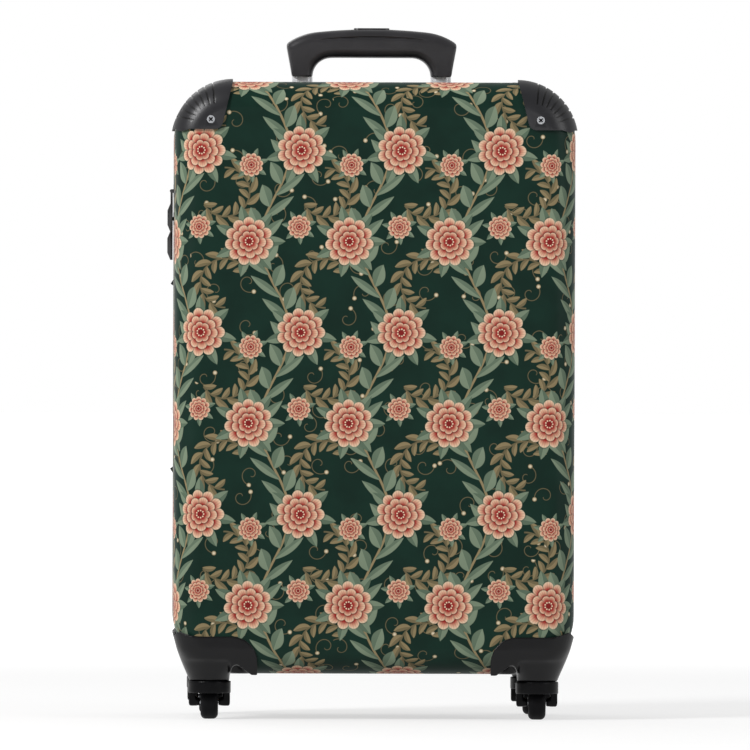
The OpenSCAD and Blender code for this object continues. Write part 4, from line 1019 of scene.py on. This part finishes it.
class SUITCASE_OT_zip(bpy.types.Operator):
    """Sew in the zip's tapes, teeth, sliders and pull tabs, and the fabric hinge"""
    bl_idname = "suitcase.zip"
    bl_label = "Zip"

    def execute(self, context):
        look, size = context.scene.suitcase_fittings, context.scene.suitcase_zip
        tape = cloth_material("zip_tape_cloth", look.zip_cloth, thread=0.0006)
        nylon = plastic_material("zip_tooth_nylon", look.zip_cloth, roughness=0.4, grain=0.0004)
        enamel = metal_material("slider_enamel", look.enamel, roughness=0.35, along=(1, 1, 1), enamel=True)
        for half in HALVES:
            softened(f"zip_tape_{half}", f"tape_{half}", tape, size.tape_edge)
            self.cut_teeth(half, size, nylon)
        for end in ("upper", "lower"):
            softened(f"zip_slider_{end}", f"slider_{end}", enamel, size.slider_edge)
            softened(f"pull_tab_{end}", f"puller_{end}", enamel, size.tab_edge)
        self.sew_hinge(size, tape)
        return {"FINISHED"}

    def cut_teeth(self, half, size, material):
        """Teeth all along the rim of one half, apart from the hinge side."""
        node = f"zip_coil_{half}"
        low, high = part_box(node)
        inset = size.tooth_depth / 2
        path = self.tooth_path(low, high, inset, size)
        near, far = (low.y, size.tooth_lap) if half == "front" else (-size.tooth_lap, high.y)
        thick = (far - near) / 2
        start = size.pitch / 2 if half == "front" else 0.0
        teeth = block(f"zip_teeth_{half}", (start, -inset, -thick),
                      (start + size.tooth_width, inset, thick))
        applied(teeth, "BEVEL", width=size.tooth_edge, segments=1)
        applied(teeth, "ARRAY", fit_type="FIT_CURVE", curve=path, use_relative_offset=False,
                use_constant_offset=True, constant_offset_displace=(size.pitch, 0, 0))
        applied(teeth, "CURVE", object=path)
        bpy.data.objects.remove(path)
        teeth.rotation_euler = (math.pi / 2, 0, 0)
        teeth.location = (0, (near + far) / 2, 0)
        settled(teeth)
        finish_piece(teeth, material, node)

    def tooth_path(self, low, high, inset, size):
        """A flat curve round the rim, open on the hinge side."""
        path = block("zip_path", (low.x + inset, low.z + inset, 0),
                     (high.x - inset, high.z - inset, size.pitch))
        edit_chosen(path, "edges", runs_along(path, 2), bpy.ops.mesh.bevel,
                    offset=size.corner - inset, segments=12)
        edit_chosen(path, "polygons", lambda face: abs(face.normal.z) < 0.5 or face.normal.z > 0,
                    bpy.ops.mesh.delete, type="FACE")
        edit_chosen(path, "polygons", lambda face: True, bpy.ops.mesh.delete, type="ONLY_FACE")

        def on_hinge_side(edge):
            return all(path.data.vertices[i].co.x > high.x - inset - NEAR for i in edge.vertices)

        edit_chosen(path, "edges", on_hinge_side, bpy.ops.mesh.delete, type="EDGE")
        only(path)
        bpy.ops.object.convert(target="CURVE")
        curve = bpy.context.object
        curve.data.twist_mode = "Z_UP"
        return curve

    def sew_hinge(self, size, material):
        """The fabric that joins both halves on the right side."""
        low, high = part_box("hinge_tape_back")
        coil_low, coil_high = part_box("zip_coil_back")
        top, bottom = max(high.z, coil_high.z - size.corner), min(low.z, coil_low.z + size.corner)
        middle = Vector(((low.x + high.x) / 2, 0, (top + bottom) / 2))
        reach = size.hinge_reach
        hinge = strip("hinge_fabric", 2 * reach, top - bottom, 28, 40)
        hinge.rotation_euler = (0, 0, math.pi / 2)
        hinge.location = (middle.x, -reach, middle.z)
        settled(hinge)
        applied(hinge, "SOLIDIFY", thickness=high.x - low.x, offset=0)
        smoothed(hinge, 40)
        hinge.data.materials.append(material)
        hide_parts("hinge_tape_back", "hinge_tape_front")
        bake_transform(hinge)


class SUITCASE_OT_lining(bpy.types.Operator):
    """Line both halves and fit the packing straps, the buckle and the mesh pocket"""
    bl_idname = "suitcase.lining"
    bl_label = "Lining and Straps"

    def execute(self, context):
        look, size = context.scene.suitcase_fittings, context.scene.suitcase_lining
        cloth = cloth_material("lining_cloth", look.lining, thread=0.0012, flat=True)
        webbing = cloth_material("strap_webbing", look.webbing, thread=0.0014, flat=True)
        buckle = plastic_material("buckle_plastic", look.housing, roughness=0.4)
        net = net_material("pocket_mesh", look.webbing)
        for half in HALVES:
            self.line_half(half, size, cloth)
        for side in SIDES:
            self.lay_strap(side, size, webbing)
        for part in ("socket", "plug"):
            softened(f"buckle_{part}", f"strap_buckle_{part}", buckle, size.buckle_edge)
        self.sew_pocket(size, webbing, net)
        return {"FINISHED"}

    def line_half(self, half, size, material):
        """A soft sheet inside one half, lifted over the wheel housings and the trolley."""
        node = f"{half}_lining"
        low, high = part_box(node)
        sign = -1 if half == "front" else 1
        rim, deep = (high.y, low.y) if half == "front" else (low.y, high.y)
        skin = Vector((size.cloth, size.cloth, size.cloth))
        lining = block(f"lining_{half}", low + skin, high - skin)
        edit_chosen(lining, "edges", runs_along(lining, 1), bpy.ops.mesh.bevel,
                    offset=size.corner, segments=8)
        far = deep - sign * size.cloth
        edit_chosen(lining, "polygons", lambda face: abs(face.center.y - far) < NEAR, bpy.ops.mesh.bevel,
                    offset=size.inner_edge, segments=4)
        for room in self.rooms(half, sign, size):
            applied(lining, "BOOLEAN", operation="DIFFERENCE", object=room, solver="EXACT")
            bpy.data.objects.remove(room)
        applied(lining, "REMESH", mode="VOXEL", voxel_size=size.weave_step)
        applied(lining, "SMOOTH", factor=0.5, iterations=5)
        edit_chosen(lining, "polygons", lambda face: abs(face.center.y - rim) < size.weave_step,
                    bpy.ops.mesh.delete, type="FACE")
        self.wrinkle(lining, size.wrinkle)
        area = sheet_area(lining)
        applied(lining, "SOLIDIFY", thickness=size.cloth * 0.8, offset=1)
        smoothed(lining, 50)
        finish_piece(lining, material, node)

    def wrinkle(self, lining, depth):
        """Gives a sheet broad and fine folds."""
        broad, fine, outward = 14.0, 37.0, 0.6
        normals = [point.normal.copy() for point in lining.data.vertices]
        for point, normal in zip(lining.data.vertices, normals):
            fold = noise.noise(point.co * broad) + 0.5 * noise.noise(point.co * fine)
            point.co -= normal * (depth * (outward + fold))

    def rooms(self, half, sign, size):
        """Blocks that the lining is lifted over."""
        shell_low, shell_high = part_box(f"{half}_shell")
        for side in SIDES:
            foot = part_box(f"wheel_housing_{half}_{side}")[0].z
            out = -1 if side == "left" else 1
            x = (shell_low if out < 0 else shell_high).x
            y = (shell_low if sign < 0 else shell_high).y
            outer = Vector((x, y, foot)) + Vector((out, sign, 0)) * size.clearance
            inner = Vector((x - out * size.room_reach, y - sign * size.room_reach,
                            shell_low.z + size.room_height))
            ends = list(zip(outer, inner))
            room = block("housing_room", [min(pair) for pair in ends], [max(pair) for pair in ends])

            def is_inner(edge):
                return all((room.data.vertices[i].co.xy - inner.xy).length < NEAR for i in edge.vertices)

            edit_chosen(room, "edges", is_inner, bpy.ops.mesh.bevel, offset=size.room_round, segments=6)
            yield room
        if half == "back":
            for node in ("outer_tube_left", "outer_tube_right", "tube_foot", "handle_cup"):
                low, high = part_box(node)
                gap = size.tube_clearance if node.startswith("outer_tube") else size.clearance
                grown = Vector((gap, gap, gap))
                far = Vector((high.x, shell_high.y, high.z))
                yield block("trolley_room", low - grown, far + grown)

    def lay_strap(self, side, size, material):
        """Two webbings that run from one side of the back half to the buckle."""
        node = f"packing_strap_{side}"
        low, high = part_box(node)
        buckle_low, buckle_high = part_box("buckle_socket" if side == "left" else "buckle_plug")
        out = -1 if side == "left" else 1
        start_x = buckle_low.x if side == "left" else buckle_high.x
        end_x = low.x if side == "left" else high.x
        middle = (low.z + high.z) / 2
        run = abs(end_x - start_x)
        begin = (buckle_high.z - buckle_low.z) / 4
        slope = math.atan2((high.z - low.z) / 2 - size.webbing_width / 2 - begin, run)
        length = run / math.cos(slope)
        bands = []
        for step, way in enumerate((-1, 1)):
            band = strip(f"webbing_{side}_{step}", length, size.webbing_width, 60, 8)
            for point in band.data.vertices:
                share = point.co.x / length
                sag = size.webbing_sag * math.sin(math.pi * share) ** 2
                point.co.y = -sag - step * size.webbing_thick * (1 - share)
            band.rotation_euler = (0, -way * slope, 0)
            band.location = (start_x, high.y - size.webbing_thick, middle + way * begin)
            band.scale = (out, 1, 1)
            bands.append(settled(band))
        only(bands[0])
        bands[1].select_set(True)
        bpy.ops.object.join()
        piece = bpy.context.object
        piece.name = piece.data.name = f"webbing_{side}"
        applied(piece, "SOLIDIFY", thickness=size.webbing_thick, offset=0)
        applied(piece, "BEVEL", width=size.webbing_edge, segments=1)
        smoothed(piece, 40)
        finish_piece(piece, material, node)

    def sew_pocket(self, size, tape, mesh):
        """A net on the lining of the lid, bound with tape on all sides."""
        node = "mesh_pocket"
        low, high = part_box(node)
        width, height = high.x - low.x, high.z - low.z
        place = (low.x, (low.y + high.y) / 2 + size.pocket_stand, (low.z + high.z) / 2)
        net = strip("pocket_net", width, height, 54, 42)
        net.location = place
        settled(net)
        for point in net.data.vertices:
            across = (point.co.x - low.x) / width
            up = (point.co.z - low.z) / height
            point.co.y += size.pocket_crown * math.sin(math.pi * across) * math.sin(math.pi * up)
        dressed(net, mesh, NODES[node]["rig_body"])
        hem = strip("pocket_binding", width, height, 1, 1)
        hem.location = place
        settled(hem)
        edit_chosen(hem, "polygons", lambda face: True, bpy.ops.mesh.inset, thickness=size.binding)
        edit_chosen(hem, "polygons", lambda face: face.area > width * height / 2,
                    bpy.ops.mesh.delete, type="FACE")
        applied(hem, "SOLIDIFY", thickness=size.webbing_thick, offset=0)
        applied(hem, "BEVEL", width=size.binding_edge, segments=2)
        smoothed(hem, 40)
        finish_piece(hem, tape, node)


class SUITCASE_OT_stage(bpy.types.Operator):
    """Lay the floor, hang the lamps and set the camera"""
    bl_idname = "suitcase.stage"
    bl_label = "Stage"

    def execute(self, context):
        look = context.scene.suitcase_stage
        self.lay_floor(look)
        self.light(look)
        self.set_camera(context.scene, look)
        context.scene.view_settings.view_transform = "Standard"
        return {"FINISHED"}

    def lay_floor(self, look):
        """A pale floor that is white where it is far away and keeps the shadow near the suitcase."""
        bpy.ops.object.select_all(action="DESELECT")
        bpy.ops.mesh.primitive_plane_add(size=look.floor_size)
        floor = bpy.context.object
        floor.name = "studio_floor"
        material, w, shader = new_material("pale_floor")
        shader.inputs["Base Color"].default_value = (*look.floor, 1)
        shader.inputs["Roughness"].default_value = 0.9
        shader.inputs["Specular IOR Level"].default_value = 0.1
        path = w.add("ShaderNodeLightPath").outputs
        seen = w.math("MAXIMUM", path["Is Camera Ray"],
                      w.math("MAXIMUM", path["Is Glossy Ray"], path["Is Transmission Ray"]))
        glow = w.add("ShaderNodeEmission")
        away = w.vector("LENGTH", w.object_place())
        lift = w.ease(away, look.glow_near, look.glow_far, look.floor_glow, 1.0)
        w.feed(glow.inputs["Strength"], w.math("MULTIPLY", seen, lift))
        both = w.add("ShaderNodeAddShader")
        w.feed(both.inputs[0], shader.outputs[0])
        w.feed(both.inputs[1], glow.outputs[0])
        w.feed(material.node_tree.nodes["Material Output"].inputs["Surface"], both.outputs[0])
        floor.data.materials.append(material)

    def light(self, look):
        """A white room that is dimmer in front, and three lamps."""
        front, back = -0.7, 0.5
        middle = Vector((0, 0, 0.3))
        world = bpy.data.worlds.new("studio")
        bpy.context.scene.world = world
        world.use_nodes = True
        w = Wires(world.node_tree)
        sky = world.node_tree.nodes["Background"]
        path = w.add("ShaderNodeLightPath").outputs
        seen = w.math("MAXIMUM", path["Is Camera Ray"], path["Is Transmission Ray"])
        _, depth, _ = w.split(w.add("ShaderNodeTexCoord").outputs["Generated"])
        room = w.ease(depth, front, back, look.front_sky, look.back_sky)
        sky.inputs["Color"].default_value = (1, 1, 1, 1)
        w.feed(sky.inputs["Strength"], w.math("MAXIMUM", seen, room))
        # Name, place, width and power
        lamps = (("key_lamp", (-3.0, -2.6, 2.8), 1.4, look.key_power),
                 ("fill_lamp", (3.2, -2.2, 1.6), 2.0, look.fill_power),
                 ("back_lamp", (-1.0, 2.4, 2.2), 1.5, look.back_power))
        for name, place, size, power in lamps:
            bpy.ops.object.light_add(type="AREA", location=place)
            lamp = bpy.context.object
            lamp.name = name
            lamp.data.shape = "DISK"
            lamp.data.size = size
            lamp.data.energy = power
            lamp.rotation_euler = (middle - Vector(place)).to_track_quat("-Z", "Y").to_euler()

    def set_camera(self, scene, look):
        """A camera far away in front, that sees the width of the picture at the front face."""
        bpy.ops.object.camera_add()
        camera = bpy.context.object
        camera.name = "studio_camera"
        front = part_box("front_shell")[0].y
        aim = Vector((0.0, front, look.aim_height))
        back = Vector((math.sin(look.azimuth) * math.cos(look.elevation),
                       -math.cos(look.azimuth) * math.cos(look.elevation), math.sin(look.elevation)))
        camera.location = aim + back * look.distance
        facing = (-back).to_track_quat("-Z", "Y").to_matrix()
        camera.rotation_euler = (facing @ Matrix.Rotation(look.roll, 3, "Z")).to_euler()
        camera.data.lens = camera.data.sensor_width * look.distance / look.picture
        camera.data.clip_end = look.sight
        camera.data.dof.use_dof = False
        scene.camera = camera


class SUITCASE_PT_panel(bpy.types.Panel):
    """Lists the pieces and their looks"""
    bl_label = "Suitcase"
    bl_idname = "SUITCASE_PT_panel"
    bl_space_type = "VIEW_3D"
    bl_region_type = "UI"
    bl_category = "Suitcase"

    def draw(self, context):
        for operator in STEPS:
            self.layout.operator(operator.bl_idname)
        for group in LOOKS:
            look = getattr(context.scene, group)
            box = self.layout.box()
            for key in look.bl_rna.properties.keys():
                if key not in ("rna_type", "name"):
                    box.prop(look, key)


STEPS = (SUITCASE_OT_stage, SUITCASE_OT_shells, SUITCASE_OT_guards, SUITCASE_OT_casters,
         SUITCASE_OT_trolley, SUITCASE_OT_zip, SUITCASE_OT_lining)
LOOKS = {"suitcase_print": PrintLook, "suitcase_fittings": FittingLook, "suitcase_guards": GuardSize,
         "suitcase_casters": CasterSize, "suitcase_trolley": TrolleySize, "suitcase_zip": ZipSize,
         "suitcase_lining": LiningSize, "suitcase_stage": StageLook}


def register():
    """Registers the looks, the operators and the panel."""
    for look in LOOKS.values():
        bpy.utils.register_class(look)
    for key, look in LOOKS.items():
        setattr(bpy.types.Scene, key, bpy.props.PointerProperty(type=look))
    for operator in STEPS:
        bpy.utils.register_class(operator)
    bpy.utils.register_class(SUITCASE_PT_panel)


def unregister():
    """Takes them away again."""
    bpy.utils.unregister_class(SUITCASE_PT_panel)
    for operator in reversed(STEPS):
        bpy.utils.unregister_class(operator)
    for key, look in LOOKS.items():
        delattr(bpy.types.Scene, key)
        bpy.utils.unregister_class(look)


def main():
    """Makes the pieces in order."""
    register()
    for operator in STEPS:
        group, name = operator.bl_idname.split(".")
        getattr(getattr(bpy.ops, group), name)()


if __name__ == "__main__":
    main()
